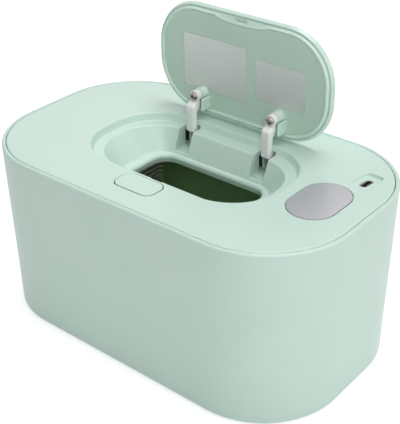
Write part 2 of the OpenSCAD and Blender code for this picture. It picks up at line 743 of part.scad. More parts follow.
module usb_tongue() color("#1d1d1f") {
  stadium(2.5, 8.2, board_z + 1, board_z + 3.5, inlet_x, inlet_y);
  block([inlet_x - 0.35, inlet_y - 3.3, board_z + 3], [inlet_x + 0.35, inlet_y + 3.3, top - 2.3]);
}

module hinge_pin(x) color(steel) translate([x, hinge_y, hinge_z]) rotate([0, 90, 0])
  translate([0, 0, -pocket_w / 2 - cheek_t]) cylinder(r = pin_dia / 2, h = pocket_w + 2 * cheek_t, $fn = 48);

// Turns of wire beside the arm's eye, with one leg to the arm and one to the panel
module hinge_spring(x) color(steel) translate([x + arm_w / 2 + 0.4, hinge_y, hinge_z])
  rotate([0, 90, 0]) {
    r = 1.75;
    wire_r = 0.19;
    turns = coil(r, 0.8, 1.75, 8, 0, 90);
    legs_start = [for (k = [3:-1:1]) [1.6 * k, r, 0]];
    last = turns[len(turns) - 1];
    legs_end = [for (k = [1:3]) last + [0, 1.2 * k, 0]];
    wire(concat(legs_start, turns, legs_end), wire_r);
  }

module button_spring() color(steel) {
  z0 = top - 13;
  z1 = top - panel_t;
  turns = 6;
  translate([0, -button_y + 0.5, 0])
    wire(coil(2.4, (z1 - z0 - 0.6) / turns, turns, 8, z0 + 0.3), 0.25);
}

module latch_spring() color(steel) {
  y_front = -skirt_in_y;
  y_back = -button_y - slide_back;
  turns = floor((y_back - y_front) / 1.2);
  translate([0, y_front, latch_top - latch_t / 2]) rotate([-90, 0, 0])
    wire(coil(1.4, (y_back - y_front - 0.5) / turns, turns, 8, 0.25), 0.2);
}

// The wedges that the button's legs push on, as sections in Y and Z
wedge_slope = latch_travel / button_travel;
function wedge_y(z) = -button_y - 3.5 - (z - latch_top) * wedge_slope;

module across(x, w, points) {
  translate([x - w / 2, 0, 0]) rotate([90, 0, 90]) linear_extrude(w) polygon(points);
}

module release_button() color(mint) {
  leg_z = latch_top + button_travel + 0.2;
  under = top - panel_t;
  slab(button_w, button_d, button_r, under, top, 0, -button_y);
  for (s = [-1, 1]) across(s * 6.5, 2.4, [
    [wedge_y(leg_z) + 0.15, leg_z], [wedge_y(under + 0.5) + 0.15, under + 0.5],
    [-button_y - 1.2, under + 0.5], [-button_y - 1.2, leg_z]]);
}

module latch_slide() color("#2c2d2f") {
  wedge_top = top - panel_t - button_travel - 0.2;
  back = -button_y - slide_back;
  difference() {
    union() {
      block([-latch_w / 2, back, latch_top - latch_t], [latch_w / 2, -button_y + 4, latch_top]);
      block([-hook_w / 2, -button_y + 3, latch_top - latch_t], [hook_w / 2, slot_y + 0.6, latch_top]);
      block([-hook_w / 2, slot_y - 0.2, latch_top - 1], [hook_w / 2, slot_y + 0.6, lid_face + 0.4]);
      block([-hook_w / 2, slot_y - 0.2, lid_face - 0.2], [hook_w / 2, slot_y + 1.15, lid_face + 0.4]);
    }
    translate([0, -button_y + 0.5, 0]) post(3.4, latch_top - 5, latch_top + 1);
  }
  for (s = [-1, 1]) across(s * 6.5, 2.8, [
    [back, latch_top - 0.5], [wedge_y(latch_top), latch_top - 0.5], [wedge_y(latch_top), latch_top],
    [wedge_y(wedge_top), wedge_top], [back, wedge_top]]);
}

// The lid's outline, inset all round, at one height of the closed lid
function lid_ring(inset, z) =
  ring(lid_w - 2 * inset, lid_d - 2 * inset, lid_r - inset, z, corner_steps, lid_y);

module lid_slab(inset, z0, z1) {
  slab(lid_w - 2 * inset, lid_d - 2 * inset, lid_r - inset, z0, z1, 0, lid_y);
}

module lid_cover() color(mint) on_lid() {
  edge = 0.6;
  difference() {
    loft([
      lid_ring(lid_lean, top - lid_rim_h),
      lid_ring(0.1, top - edge - 0.2),
      lid_ring(0.18, top - edge * 0.5),
      lid_ring(edge, top)]);
    lid_slab(lid_rim_w + lid_lean * 0.6, top - lid_rim_h - 1, top - lid_skin);
  }
}

module lid_liner() color(mint_inner) on_lid() {
  inset = liner_inset + lid_lean * 0.6;
  tab_r = (tab_w * tab_w / 4 + tab_bulge * tab_bulge) / (2 * tab_bulge);
  ring_in = lid_front + inset + ring_w;
  difference() {
    union() {
      lid_slab(inset, lid_face, top - lid_skin);
      difference() {
        lid_slab(inset, ring_face, lid_face + 0.2);
        difference() {
          lid_slab(inset + ring_w, ring_face - 1, lid_face);
          translate([0, ring_in + tab_bulge - tab_r, ring_face - 2])
            cylinder(r = tab_r, h = 5, $fn = 180);
        }
      }
      for (s = [-1, 1]) translate([s * arm_span / 2, screw_y, 0]) {
        post(collar_r + 0.3, hinge_z + collar_end, lid_face + 0.2);
        for (f = [-1, 1]) block([f * 3.55 - 0.95, 2, hinge_z - 3.6], [f * 3.55 + 0.95, 9.3, lid_face + 0.2]);
      }
    }
    // Slot for the hook, wider inside than at its mouth
    slot_front = slot_y - 0.35 - latch_travel;
    block([-hook_w / 2 - 0.6, slot_front, ring_face - 1], [hook_w / 2 + 0.6, slot_y + 0.75, lid_face + 0.9]);
    block([-hook_w / 2 - 0.6, slot_front, lid_face - 0.45], [hook_w / 2 + 0.6, slot_y + 1.5, lid_face + 0.9]);
    for (s = [-1, 1]) translate([s * arm_span / 2, screw_y, 0])
      post(1.12, hinge_z + collar_end - 1, lid_face + 0.9);
  }
}

// Drawn as it stands with the lid open: foot, upright bar, eye and screw collar
module arm(x) color(white_nylon) {
  face = hinge_y - arm_throw;
  rear = face + arm_t;
  foot_z = top - 7.5;
  bar_top = top + 10.1;
  collar_z = top + screw_rise;
  neck = rear + 0.4;
  at_rest = [0, hinge_y, hinge_z];
  translate(at_rest) rotate([90 - lid_open, 0, 0]) translate(-at_rest) difference() {
    union() {
      translate([x, hinge_y, hinge_z]) rotate([0, 90, 0])
        translate([0, 0, -arm_w / 2]) cylinder(r = eye_r, h = arm_w, $fn = 48);
      block([x - arm_w / 2, face + 0.5, foot_z], [x + arm_w / 2, hinge_y, foot_z + 3.6]);
      across(x, arm_w, [[face, foot_z + 1.2], [face + 1.2, foot_z], [rear, foot_z],
        [rear, bar_top + 2], [face, bar_top]]);
      // The neck stands behind the bar and carries the collar
      across(x, arm_w - 1, [[rear - 1, bar_top - 5], [rear, bar_top - 5], [neck + 2.4, bar_top - 1],
        [neck + 2.4, collar_z], [neck, collar_z], [neck, bar_top + 1.6], [rear - 1, bar_top + 1.5]]);
      translate([x, neck, collar_z]) rotate([-90, 0, 0])
        cylinder(r = collar_r, h = hinge_y + collar_end - neck, $fn = 48);
    }
    translate([x, hinge_y, hinge_z]) rotate([0, 90, 0])
      translate([0, 0, -arm_w]) cylinder(r = pin_dia / 2 + pin_play, h = 2 * arm_w, $fn = 48);
    translate([x, 0, collar_z]) rotate([-90, 0, 0]) cylinder(r = 1.3, h = 60, $fn = 32);
  }
}

module arm_screws() color("#a88f86") on_lid()
  for (s = [-1, 1]) translate([s * arm_span / 2, screw_y, 0])
    screw_up(hinge_z - arm_throw + arm_t + 0.4, screw_head_r, 1.5, 1.08,
      lid_face - hinge_z + arm_throw - arm_t - 0.8);

module label(w, h, x, rise) color("#a9acac") on_lid() difference() {
  slab(w, h, 1.6, lid_face - label_t, lid_face, x, hinge_y - hinge_drop - rise);
  // Cut clear of the arms' bosses
  for (s = [-1, 1]) translate([s * arm_span / 2, screw_y, 0]) post(collar_r + 0.5, lid_face - 1, lid_face + 1);
}

module label_left() label(left_label_w, left_label_h, left_label_x, left_label_rise);
module label_right() label(right_label_w, right_label_h, right_label_x, right_label_rise);

outer_shell();
inner_bin();
insulation_jacket();
insulation_base();
rubber_feet();
base_screws();
top_panel();
deck_underside();
deck_gasket();
deck_screws();
heater_plate();
heater_film();
heater_pad();
thermal_fuse();
temperature_sensor();
heater_leads();
control_board();
board_chips();
board_link();
board_screws();
display_board();
led_display();
display_window();
usb_socket();
usb_tongue();
hinge_pin(-arm_span / 2);  // hinge_pin_left
hinge_pin(arm_span / 2);  // hinge_pin_right
hinge_spring(-arm_span / 2);  // hinge_spring_left
hinge_spring(arm_span / 2);  // hinge_spring_right
button_spring();
latch_spring();
release_button();
latch_slide();
lid_cover();
lid_liner();
arm(-arm_span / 2);  // arm_left
arm(arm_span / 2);  // arm_right
arm_screws();
label_left();
label_right();
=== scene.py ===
import math

import bmesh
import bpy
from mathutils import Matrix, Vector


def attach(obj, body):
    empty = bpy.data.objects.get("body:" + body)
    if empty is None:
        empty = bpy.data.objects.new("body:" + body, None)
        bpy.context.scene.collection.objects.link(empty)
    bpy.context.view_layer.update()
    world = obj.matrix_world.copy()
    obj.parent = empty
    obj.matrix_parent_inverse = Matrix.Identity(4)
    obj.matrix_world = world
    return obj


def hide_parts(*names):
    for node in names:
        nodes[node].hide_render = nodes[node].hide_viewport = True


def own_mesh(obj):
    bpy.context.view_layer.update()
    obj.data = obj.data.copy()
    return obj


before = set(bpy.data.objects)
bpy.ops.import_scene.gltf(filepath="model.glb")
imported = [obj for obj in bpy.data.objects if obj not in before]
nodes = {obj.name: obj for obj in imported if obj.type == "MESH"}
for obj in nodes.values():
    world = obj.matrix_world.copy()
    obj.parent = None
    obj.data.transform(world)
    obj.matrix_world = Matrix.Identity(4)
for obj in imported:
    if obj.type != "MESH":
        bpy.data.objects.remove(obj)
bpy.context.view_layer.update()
print("frame loaded,", len(nodes), "nodes")

mm = 0.001
weldDistance = 1e-4  # mm; points nearer than this are one point
noLength = 1e-7  # mm; an edge shorter than this is left out of a face's outline
hair = 0.01  # mm; the least step that keeps two edges or faces from falling on one another
deckTop = 106.5  # height of the deck's top face
hingeLine = (40.0, 100.0)  # y and z of the lid's hinge axis
armPlaces = (-27.2, 27.2)  # x of the two arms


# shapes, all in millimetres until a piece is made

def ringPoints(halfX, halfY, radius, z, centre=(0.0, 0.0), steps=24):
    points = []
    for quarter in range(4):
        sx = 1 if quarter in (0, 3) else -1
        sy = 1 if quarter < 2 else -1
        for i in range(steps + 1):
            a = math.pi / 2 * (quarter + i / steps)
            points.append(Vector((
                centre[0] + sx * (halfX - radius) + radius * math.cos(a),
                centre[1] + sy * (halfY - radius) + radius * math.sin(a),
                z)))
    return points


def insetRing(plan, inset, z):
    return ringPoints(plan["halfX"] - inset, plan["halfY"] - inset, plan["radius"] - inset, z,
                      plan.get("centre", (0, 0)), plan["steps"])


def softenPath(stations, steps=5, longestShare=0.98):
    # each station is ((halfX, halfY, radius, z), roundBefore, roundAfter) in mm of its Y-Z section
    path = []
    for i, (here, before, after) in enumerate(stations):
        if before == 0 and after == 0:
            path.append(here)
            continue
        ends = []
        for other, reach in ((stations[i - 1][0], before), (stations[i + 1][0], after)):
            length = math.hypot(other[1] - here[1], other[3] - here[3])
            share = min(longestShare, reach / length)
            ends.append([h + (o - h) * share for h, o in zip(here, other)])
        for k in range(steps + 1):
            t = k / steps
            path.append([(1 - t) ** 2 * a + 2 * t * (1 - t) * h + t * t * b
                         for a, h, b in zip(ends[0], here, ends[1])])
    return path


def arc(radius, steps=6):
    # (inset, drop) pairs of a quarter round, from the flat face over to the side
    return [(radius * (1 - math.sin(math.pi / 2 * k / steps)),
             radius * (1 - math.cos(math.pi / 2 * k / steps))) for k in range(steps + 1)]


def loftRings(bm, rings):
    rows = [[bm.verts.new(p) for p in ring] for ring in rings]
    for low, high in zip(rows, rows[1:]):
        count = len(low)
        for i in range(count):
            j = (i + 1) % count
            bm.faces.new((low[i], low[j], high[j], high[i]))
    return rows[0], rows[-1]


def closedLoft(bm, rings):
    for end in loftRings(bm, rings):
        bm.faces.new(end)


def fillFace(bm, loops, normal=(0, 0, 1)):
    # one flat face from an outer loop and any holes
    edges = []
    for loop in loops:
        for a, b in zip(loop, loop[1:] + loop[:1]):
            if (a.co - b.co).length < noLength:
                continue
            edges.append(bm.edges.get((a, b)) or bm.edges.new((a, b)))
    bmesh.ops.triangle_fill(bm, edges=edges, use_beauty=True, normal=Vector(normal))


def prism(outline, axis, start, end):
    # an outline drawn across one axis and carried along it
    def place(u, v, w):
        return {"X": Vector((w, u, v)), "Y": Vector((u, w, v)), "Z": Vector((u, v, w))}[axis]
    bm = bmesh.new()
    closedLoft(bm, [[place(u, v, w) for u, v in outline] for w in (start, end)])
    return bm


def rectangle(left, right, low, high):
    return [(left, low), (right, low), (right, high), (left, high)]


def turned(profile, steps=40, centre=(0, 0, 0), axis="Z"):
    # a turned solid from (radius, height) pairs, closed at both ends
    rings = []
    for radius, height in profile:
        ring = []
        for i in range(steps):
            a = 2 * math.pi * i / steps
            u, v = radius * math.cos(a), radius * math.sin(a)
            p = (u, v, height) if axis == "Z" else (u, height, v)
            ring.append(Vector(p) + Vector(centre))
        rings.append(ring)
    bm = bmesh.new()
    closedLoft(bm, rings)
    return bm


def openMatrix():
    # turns a piece drawn on the closed lid to where the lid stands open
    pivot = Vector((0, hingeLine[0], hingeLine[1]))
    return Matrix.Translation(pivot) @ Matrix.Rotation(-math.pi / 2, 4, "X") @ Matrix.Translation(-pivot)


def newObject(name, mesh):
    piece = bpy.data.objects.new(name, mesh)
    bpy.context.scene.collection.objects.link(piece)
    return piece


def solidFrom(bm, name="tool", onLid=False):
    # the drawn shape as an object, in metres; one that is named tool is used up by combine
    bmesh.ops.remove_doubles(bm, verts=bm.verts, dist=weldDistance)
    bmesh.ops.recalc_face_normals(bm, faces=bm.faces)
    if onLid:
        bmesh.ops.transform(bm, matrix=openMatrix(), verts=bm.verts)
    bmesh.ops.scale(bm, vec=(mm, mm, mm), verts=bm.verts)
    mesh = bpy.data.meshes.new(name)
    bm.to_mesh(mesh)
    bm.free()
    return newObject(name, mesh)


def bakeModifiers(piece):
    bpy.context.view_layer.update()
    shaped = piece.evaluated_get(bpy.context.evaluated_depsgraph_get())
    mesh = bpy.data.meshes.new_from_object(shaped)
    piece.modifiers.clear()
    piece.data = mesh


def combine(piece, other, operation):
    change = piece.modifiers.new(operation, "BOOLEAN")
    change.object = other
    change.operation = operation
    change.solver = "EXACT"
    bakeModifiers(piece)
    bpy.data.objects.remove(other)


def roundEdges(piece, width, angle=35, segments=3):
    bevel = piece.modifiers.new("edges", "BEVEL")
    bevel.width = width * mm
    bevel.segments = segments
    bevel.limit_method = "ANGLE"
    bevel.angle_limit = math.radians(angle)
    bevel.miter_outer = "MITER_ARC"
    bevel.harden_normals = False


def evenShading(piece):
    even = piece.modifiers.new("even shading", "WEIGHTED_NORMAL")
    even.keep_sharp = True
    even.weight = 80  # of 100: large faces turn the shading of their edges


def smoothFaces(piece, angle=40):
    for face in piece.data.polygons:
        face.use_smooth = True
    piece.data.set_sharp_from_angle(angle=math.radians(angle))
    evenShading(piece)


def finishPiece(piece, material, body, replaces=None, angle=40):
    piece.data.materials.clear()
    piece.data.materials.append(material)
    smoothFaces(piece, angle)
    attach(piece, body)
    if replaces:
        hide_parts(*replaces)
    return piece


# materials

def linear(hexColour):
    # an sRGB hex value as Blender's linear colour
    parts = [int(hexColour[i:i + 2], 16) / 255 for i in (1, 3, 5)]
    return tuple(c / 12.92 if c <= 0.04045 else ((c + 0.055) / 1.055) ** 2.4 for c in parts) + (1.0,)


def addNode(tree, kind, settings=None, links=None):
    node = tree.nodes.new(kind)
    for key, value in (settings or {}).items():
        if isinstance(key, int) or key in node.inputs:
            node.inputs[key].default_value = value
        else:
            setattr(node, key, value)
    for socket, source in (links or {}).items():
        tree.links.new(source, node.inputs[socket])
    return node


def newMaterial(name, colour, shader):
    # a material with its shader, and the place on the object that patterns are drawn by
    material = bpy.data.materials.new(name)
    material.use_nodes = True
    material.diffuse_color = linear(colour)
    tree = material.node_tree
    tree.nodes.clear()
    place = addNode(tree, "ShaderNodeTexCoord").outputs["Object"]
    surface = addNode(tree, "ShaderNodeBsdfPrincipled", {"Base Color": linear(colour), **shader})
    addNode(tree, "ShaderNodeOutputMaterial", links={"Surface": surface.outputs[0]})
    return material, tree, place, surface


noiseBand = (0.35, 0.65)  # where most of a soft noise's values lie
grainBand = (0.3, 0.7)  # and those of a rougher one
metalGloss = (-0.06, 0.08)  # spread of a metal's roughness
metalReliefMm = 0.02


def perMetre(sizeMm):
    return 1 / (sizeMm * mm)


def waveScale(pitchMm):
    return math.pi / 10 * perMetre(pitchMm)  # a wave texture of scale 1 repeats every pi / 10


def addGrain(tree, surface, look, grain, spread, reliefMm):
    # the fine grain, as a spread of the gloss and as relief
    gloss = addNode(tree, "ShaderNodeMapRange", {
        "From Min": grainBand[0], "From Max": grainBand[1],
        "To Min": look["roughness"] + spread[0], "To Max": look["roughness"] + spread[1]}, {"Value": grain})
    tree.links.new(gloss.outputs[0], surface.inputs["Roughness"])
    bump = addNode(tree, "ShaderNodeBump", {"Strength": look["bump"], "Distance": reliefMm * mm}, {"Height": grain})
    tree.links.new(bump.outputs[0], surface.inputs["Normal"])


# what a plastic has unless its own look says otherwise
plainPlastic = dict(ior=1.53, cloudMm=45, glossSpread=0.05, bumpMm=0.05)


def mouldedPlastic(name, look):
    # cloud: slow drift of pigment over the moulding; grain: the tool's eroded texture
    look = dict(plainPlastic, **look)
    material, tree, place, surface = newMaterial(name, look["colour"], {
        "Roughness": look["roughness"], "IOR": look["ior"]})
    if "specular" in look:
        surface.inputs["Specular IOR Level"].default_value = look["specular"]
    if "glowMm" in look:
        surface.inputs["Subsurface Weight"].default_value = 1.0
        surface.inputs["Subsurface Radius"].default_value = (1.0, 1.0, 1.0)
        surface.inputs["Subsurface Scale"].default_value = look["glowMm"] * mm
    cloud = addNode(tree, "ShaderNodeTexNoise", {
        "Scale": perMetre(look["cloudMm"]), "Detail": 3.0, "Roughness": 0.5}, {"Vector": place})
    drift = addNode(tree, "ShaderNodeMapRange", {
        "From Min": noiseBand[0], "From Max": noiseBand[1]}, {"Value": cloud.outputs[0]})
    colour = addNode(tree, "ShaderNodeMix", {
        "data_type": "RGBA", 6: linear(look["colour"]), 7: linear(look["colourDrift"])}, {0: drift.outputs[0]})
    if "farColour" in look:
        # a second colour, taken on with the distance from the middle of the length
        split = addNode(tree, "ShaderNodeSeparateXYZ", links={"Vector": place})
        reach = addNode(tree, "ShaderNodeMath", {"operation": "ABSOLUTE"}, {0: split.outputs[0]})
        change = addNode(tree, "ShaderNodeMapRange", {
            "From Min": look["farMm"][0] * mm, "From Max": look["farMm"][1] * mm}, {"Value": reach.outputs[0]})
        for low, high in look.get("heightMm", ()):
            # and only within these heights, each pair from none to all of it; on the bin the lower pair fades the
            # paler end walls back to green below, as painted shade
            level = addNode(tree, "ShaderNodeMapRange", {
                "From Min": low * mm, "From Max": high * mm}, {"Value": split.outputs[2]})
            change = addNode(tree, "ShaderNodeMath", {"operation": "MULTIPLY"}, {
                0: change.outputs[0], 1: level.outputs[0]})
        colour = addNode(tree, "ShaderNodeMix", {"data_type": "RGBA", 7: linear(look["farColour"])}, {
            0: change.outputs[0], 6: colour.outputs[2]})
        if "ribMm" in look:
            # painted shade between ribs that lie one pitch apart in height
            top, pitch = look["ribMm"]
            height = addNode(tree, "ShaderNodeMath", {
                "operation": "SUBTRACT", 1: top * mm}, {0: split.outputs[2]})
            height = addNode(tree, "ShaderNodeMath", {"operation": "MINIMUM", 1: 0.0}, {0: height.outputs[0]})
            away = addNode(tree, "ShaderNodeMath", {
                "operation": "PINGPONG", 1: pitch / 2 * mm}, {0: height.outputs[0]})
            groove = addNode(tree, "ShaderNodeMapRange", {
                "From Min": look["grooveMm"][0] * mm, "From Max": look["grooveMm"][1] * mm},
                {"Value": away.outputs[0]})
            ribbed = addNode(tree, "ShaderNodeMix", {
                "data_type": "RGBA", 6: linear(look["farColour"]), 7: linear(look["grooveShadeColour"])},
                {0: groove.outputs[0]})
            tree.links.new(ribbed.outputs[2], colour.inputs[7])
    tree.links.new(colour.outputs[2], surface.inputs["Base Color"])
    grain = addNode(tree, "ShaderNodeTexNoise", {
        "Scale": perMetre(look["grainMm"]), "Detail": 2.0, "Roughness": 0.6}, {"Vector": place})
    addGrain(tree, surface, look, grain.outputs[0], (-look["glossSpread"], look["glossSpread"]), look["bumpMm"])
    return material


mintAbs = dict(colour="#cde4da", colourDrift="#cae2d7", grainMm=0.5, glossSpread=0.04, bump=0.08)
plastics = {
    # satin moulded ABS, pigmented mint: soft wide highlight, faint eroded grain.
    # The true grain is 0.05 mm; it is drawn at 0.5 mm so that it shows at all.
    "mintAbsShell": dict(mintAbs, colour="#cbe2d8", colourDrift="#c8e0d5", roughness=0.42, glossSpread=0.05,
                         bump=0.10),
    "mintAbsDeck": dict(mintAbs, roughness=0.32, glossSpread=0.05),
    "mintAbsLid": dict(mintAbs, roughness=0.3),
    # the ring is paler than the rest of the lid: painted light, the light that its bead and tab catch
    "mintAbsRing": dict(mintAbs, colour="#d8ede1", colourDrift="#d4eadd", roughness=0.36),
    # the liner's panel is eroded deeper in the tool: duller, and its colour is a little darker than the ring's
    "mintAbsLiner": dict(mintAbs, colour="#c7ded1", colourDrift="#c3dbcd", roughness=0.46, grainMm=0.6,
                         glossSpread=0.06, bump=0.12),
    "mintAbsButton": dict(mintAbs, roughness=0.34, bump=0.06),
    # moulded polypropylene: waxy, green in the shade of the bin; paler on its ribbed end walls within a band of
    # heights, partly painted light, with painted shade between the ribs
    "binPolypropylene": dict(colour="#8eb180", colourDrift="#89ad7b", farColour="#fbeeea", farMm=(71.5, 73.5),
                             heightMm=((43.0, 51.0), (77.5, 76.0)), ribMm=(72.1, 3.0), grooveMm=(0.55, 1.1),
                             grooveShadeColour="#7c6a63", roughness=0.5, grainMm=0.8, glossSpread=0.06, bump=0.1,
                             bumpMm=0.06, ior=1.49),
    # natural nylon of the arms: white, and light spreads some millimetres inside it
    "armNylon": dict(colour="#fefefc", colourDrift="#fbfbf8", roughness=0.4, grainMm=0.4, cloudMm=6,
                     bump=0.08, bumpMm=0.04, glowMm=2.5),
    # black acetal of the latch, matt: its black is painted shade, so that it can't be told from the shaded mouth
    # behind it
    "latchAcetal": dict(colour="#101310", colourDrift="#0e110e", roughness=0.75, grainMm=0.5, cloudMm=10,
                        glossSpread=0.04, bump=0.05, bumpMm=0.03, ior=1.48, specular=0.2),
    # pearl grey polycarbonate over the display, with a slow turn to a paler lilac towards the end: painted
    # reflection
    "windowPolycarbonate": dict(colour="#a8adb0", colourDrift="#abaeb3", farColour="#c1c0c6", farMm=(74, 95),
                                roughness=0.22, grainMm=1.2, glossSpread=0.03, bump=0.02, bumpMm=0.02,
                                cloudMm=30, ior=1.58),
    # moulded rubber: near black, dull and slightly rough to the touch
    "footRubber": dict(colour="#3b3d3c", colourDrift="#343635", roughness=0.7, grainMm=0.4, glossSpread=0.08,
                       bump=0.3, bumpMm=0.08, ior=1.5),
    # moulded silicone: pale grey with a soft powdery sheen
    "gasketSilicone": dict(colour="#dcdfdb", colourDrift="#d3d7d2", roughness=0.6, grainMm=0.4, glossSpread=0.06,
                           bump=0.2, bumpMm=0.06, ior=1.41),
    # fired ceramic body: grey, matt and finely granular
    "fuseCeramic": dict(colour="#8f9189", colourDrift="#84867e", roughness=0.55, grainMm=0.3, glossSpread=0.06,
                        bump=0.2, cloudMm=4),
    # dipped epoxy bead: black and glossy, as it ran
    "sensorEpoxy": dict(colour="#26272a", colourDrift="#1f2023", roughness=0.25, grainMm=0.6,
                        bump=0.1, cloudMm=4),
    # extruded silicone of the leads: red, satin
    "leadSilicone": dict(colour="#c23a30", colourDrift="#b5332a", roughness=0.5, grainMm=0.3,
                         bump=0.15, bumpMm=0.04, cloudMm=5, ior=1.41),
    # pressed epoxy of the chips: black, matt, sandy
    "chipEpoxy": dict(colour="#222326", colourDrift="#1c1d20", roughness=0.6, grainMm=0.15, glossSpread=0.08,
                      bump=0.35, bumpMm=0.03, cloudMm=4),
    # moulded black nylon of the plugs: satin
    "headerNylon": dict(colour="#2b2b2e", colourDrift="#242427", roughness=0.5, grainMm=0.3,
                        bump=0.1, bumpMm=0.03, cloudMm=4),
    # cast epoxy over the display's segments: black, smooth
    "displayEpoxy": dict(colour="#17181a", colourDrift="#141517", roughness=0.3, grainMm=0.4, glossSpread=0.04,
                         bump=0.05, bumpMm=0.03, cloudMm=6),
}
materials = {name: mouldedPlastic(name, look) for name, look in plastics.items()}


def metalFinish(name, look):
    material, tree, place, surface = newMaterial(name, look["colour"], {
        "Metallic": 1.0, "Roughness": look["roughness"]})
    stretch = addNode(tree, "ShaderNodeMapping", {"Scale": look.get("stretch", (1, 1, 1))}, {"Vector": place})
    streak = addNode(tree, "ShaderNodeTexNoise", {
        "Scale": perMetre(look["grainMm"]), "Detail": 3.0, "Roughness": 0.6}, {"Vector": stretch.outputs[0]})
    colour = addNode(tree, "ShaderNodeMix", {
        "data_type": "RGBA", 6: linear(look["colour"]), 7: linear(look["colourDrift"])}, {0: streak.outputs[0]})
    tree.links.new(colour.outputs[2], surface.inputs["Base Color"])
    addGrain(tree, surface, look, streak.outputs[0], metalGloss, metalReliefMm)
    return material


metals = {
    # zinc plating on rolled threads: pale grey, softly mottled
    "screwZinc": dict(colour="#b9b7b2", colourDrift="#a9a6a0", roughness=0.3, grainMm=0.4, bump=0.2),
    # nickel plating of the arms' screws: neutral, with a slightly warm cast; its grey is darker than bright nickel,
    # a painted dark reflection
    "armScrewNickel": dict(colour="#b0a7a3", colourDrift="#8d8480", roughness=0.16, grainMm=0.5, bump=0.15),
    # drawn spring wire: bright grey
    "springSteel": dict(colour="#a8a9ab", colourDrift="#989a9c", roughness=0.25, grainMm=0.3, bump=0.1),
    # rolled sheet: fine streaks along its length, 0.4 mm apart
    "rolledAluminium": dict(colour="#cfd1d4", colourDrift="#c2c4c8", roughness=0.34, grainMm=0.4,
                            stretch=(0.04, 1, 1), bump=0.3),
    # stamped and plated sheet of the inlet: darkened to a mid grey, painted shade of the inlet's recess
    "socketSteel": dict(colour="#8d8f91", colourDrift="#808285", roughness=0.3, grainMm=0.4, bump=0.1),
    # metallised polyester film of the labels: fine brushed lines along X
    "labelPolyester": dict(colour="#c6c8c7", colourDrift="#c0c2c1", roughness=0.55, grainMm=0.35,
                           stretch=(0.03, 1, 1), bump=0.03),
}
materials.update({name: metalFinish(name, look) for name, look in metals.items()})


def cutCells(tree, place, look):
    return addNode(tree, "ShaderNodeTexVoronoi", {"Scale": perMetre(look["sizeMm"])}, {"Vector": place}).outputs[0]


def etchedTrack(tree, place, look):
    waves = addNode(tree, "ShaderNodeTexWave", {
        "wave_type": "BANDS", "bands_direction": "X", "Scale": waveScale(look["sizeMm"])}, {"Vector": place})
    return addNode(tree, "ShaderNodeMapRange", {
        "From Min": look["trackEdge"][0], "From Max": look["trackEdge"][1]}, {"Value": waves.outputs[1]}).outputs[0]


def needledFibres(tree, place, look):
    return addNode(tree, "ShaderNodeTexNoise", {
        "Scale": perMetre(look["sizeMm"]), "Detail": 6.0, "Roughness": 0.7, "Distortion": 1.5},
        {"Vector": place}).outputs[0]


def glassWeave(tree, place, look):
    warp, weft = (addNode(tree, "ShaderNodeTexWave", {
        "wave_type": "BANDS", "bands_direction": way, "Scale": waveScale(look["sizeMm"])}, {"Vector": place})
        for way in ("X", "Y"))
    return addNode(tree, "ShaderNodeMath", {"operation": "MULTIPLY"}, {
        0: warp.outputs[1], 1: weft.outputs[1]}).outputs[0]


sheets = {
    # cut polyethylene foam: small open cells, no gloss
    "polyethyleneFoam": dict(pattern=cutCells, colour="#c0c3c3", colours=("#c0c3c3", "#a9adad"), roughness=0.85,
                             sizeMm=1.2, bump=0.5, bumpMm=0.3),
    # polyimide film: amber, with an etched resistance track, one pass every 8 mm
    "heaterPolyimide": dict(pattern=etchedTrack, colour="#b3682c", colours=("#b3682c", "#7d4a24"), roughness=0.3,
                            ior=1.7, sizeMm=7.9, trackEdge=(0.45, 0.55)),
    # needled polyester felt: fibres drawn at 0.6 mm, coarser than the real ones so that they show
    "heaterFelt": dict(pattern=needledFibres, colour="#e6e3da", colours=("#d2cec3", "#f0eee8"), roughness=0.95,
                       sizeMm=0.6, bump=0.7, bumpMm=0.4),
    # glass-epoxy board: green mask over a weave, drawn at 1.6 mm, coarser than the real one so that it shows
    "boardFibreglass": dict(pattern=glassWeave, colour="#2f6b45", colours=("#2b6440", "#35744d"), roughness=0.32,
                            ior=1.55, sizeMm=1.58),
}


def sheetFinish(name, look):
    # one pattern turns the first colour into the second and, where it has relief, raises the surface
    shader = {"Roughness": look["roughness"]}
    if "ior" in look:
        shader["IOR"] = look["ior"]
    material, tree, place, surface = newMaterial(name, look["colour"], shader)
    pattern = look["pattern"](tree, place, look)
    colour = addNode(tree, "ShaderNodeMix", {
        "data_type": "RGBA", 6: linear(look["colours"][0]), 7: linear(look["colours"][1])}, {0: pattern})
    tree.links.new(colour.outputs[2], surface.inputs["Base Color"])
    if "bump" in look:
        bump = addNode(tree, "ShaderNodeBump", {
            "Strength": look["bump"], "Distance": look["bumpMm"] * mm}, {"Height": pattern})
        tree.links.new(bump.outputs[0], surface.inputs["Normal"])
    return material


materials.update({name: sheetFinish(name, look) for name, look in sheets.items()})
print("materials made,", len(materials))


# modifiers for the nodes that keep their CAD shape

sharpTurn = 32  # degrees between two faces
cadWeld = 0.002  # mm


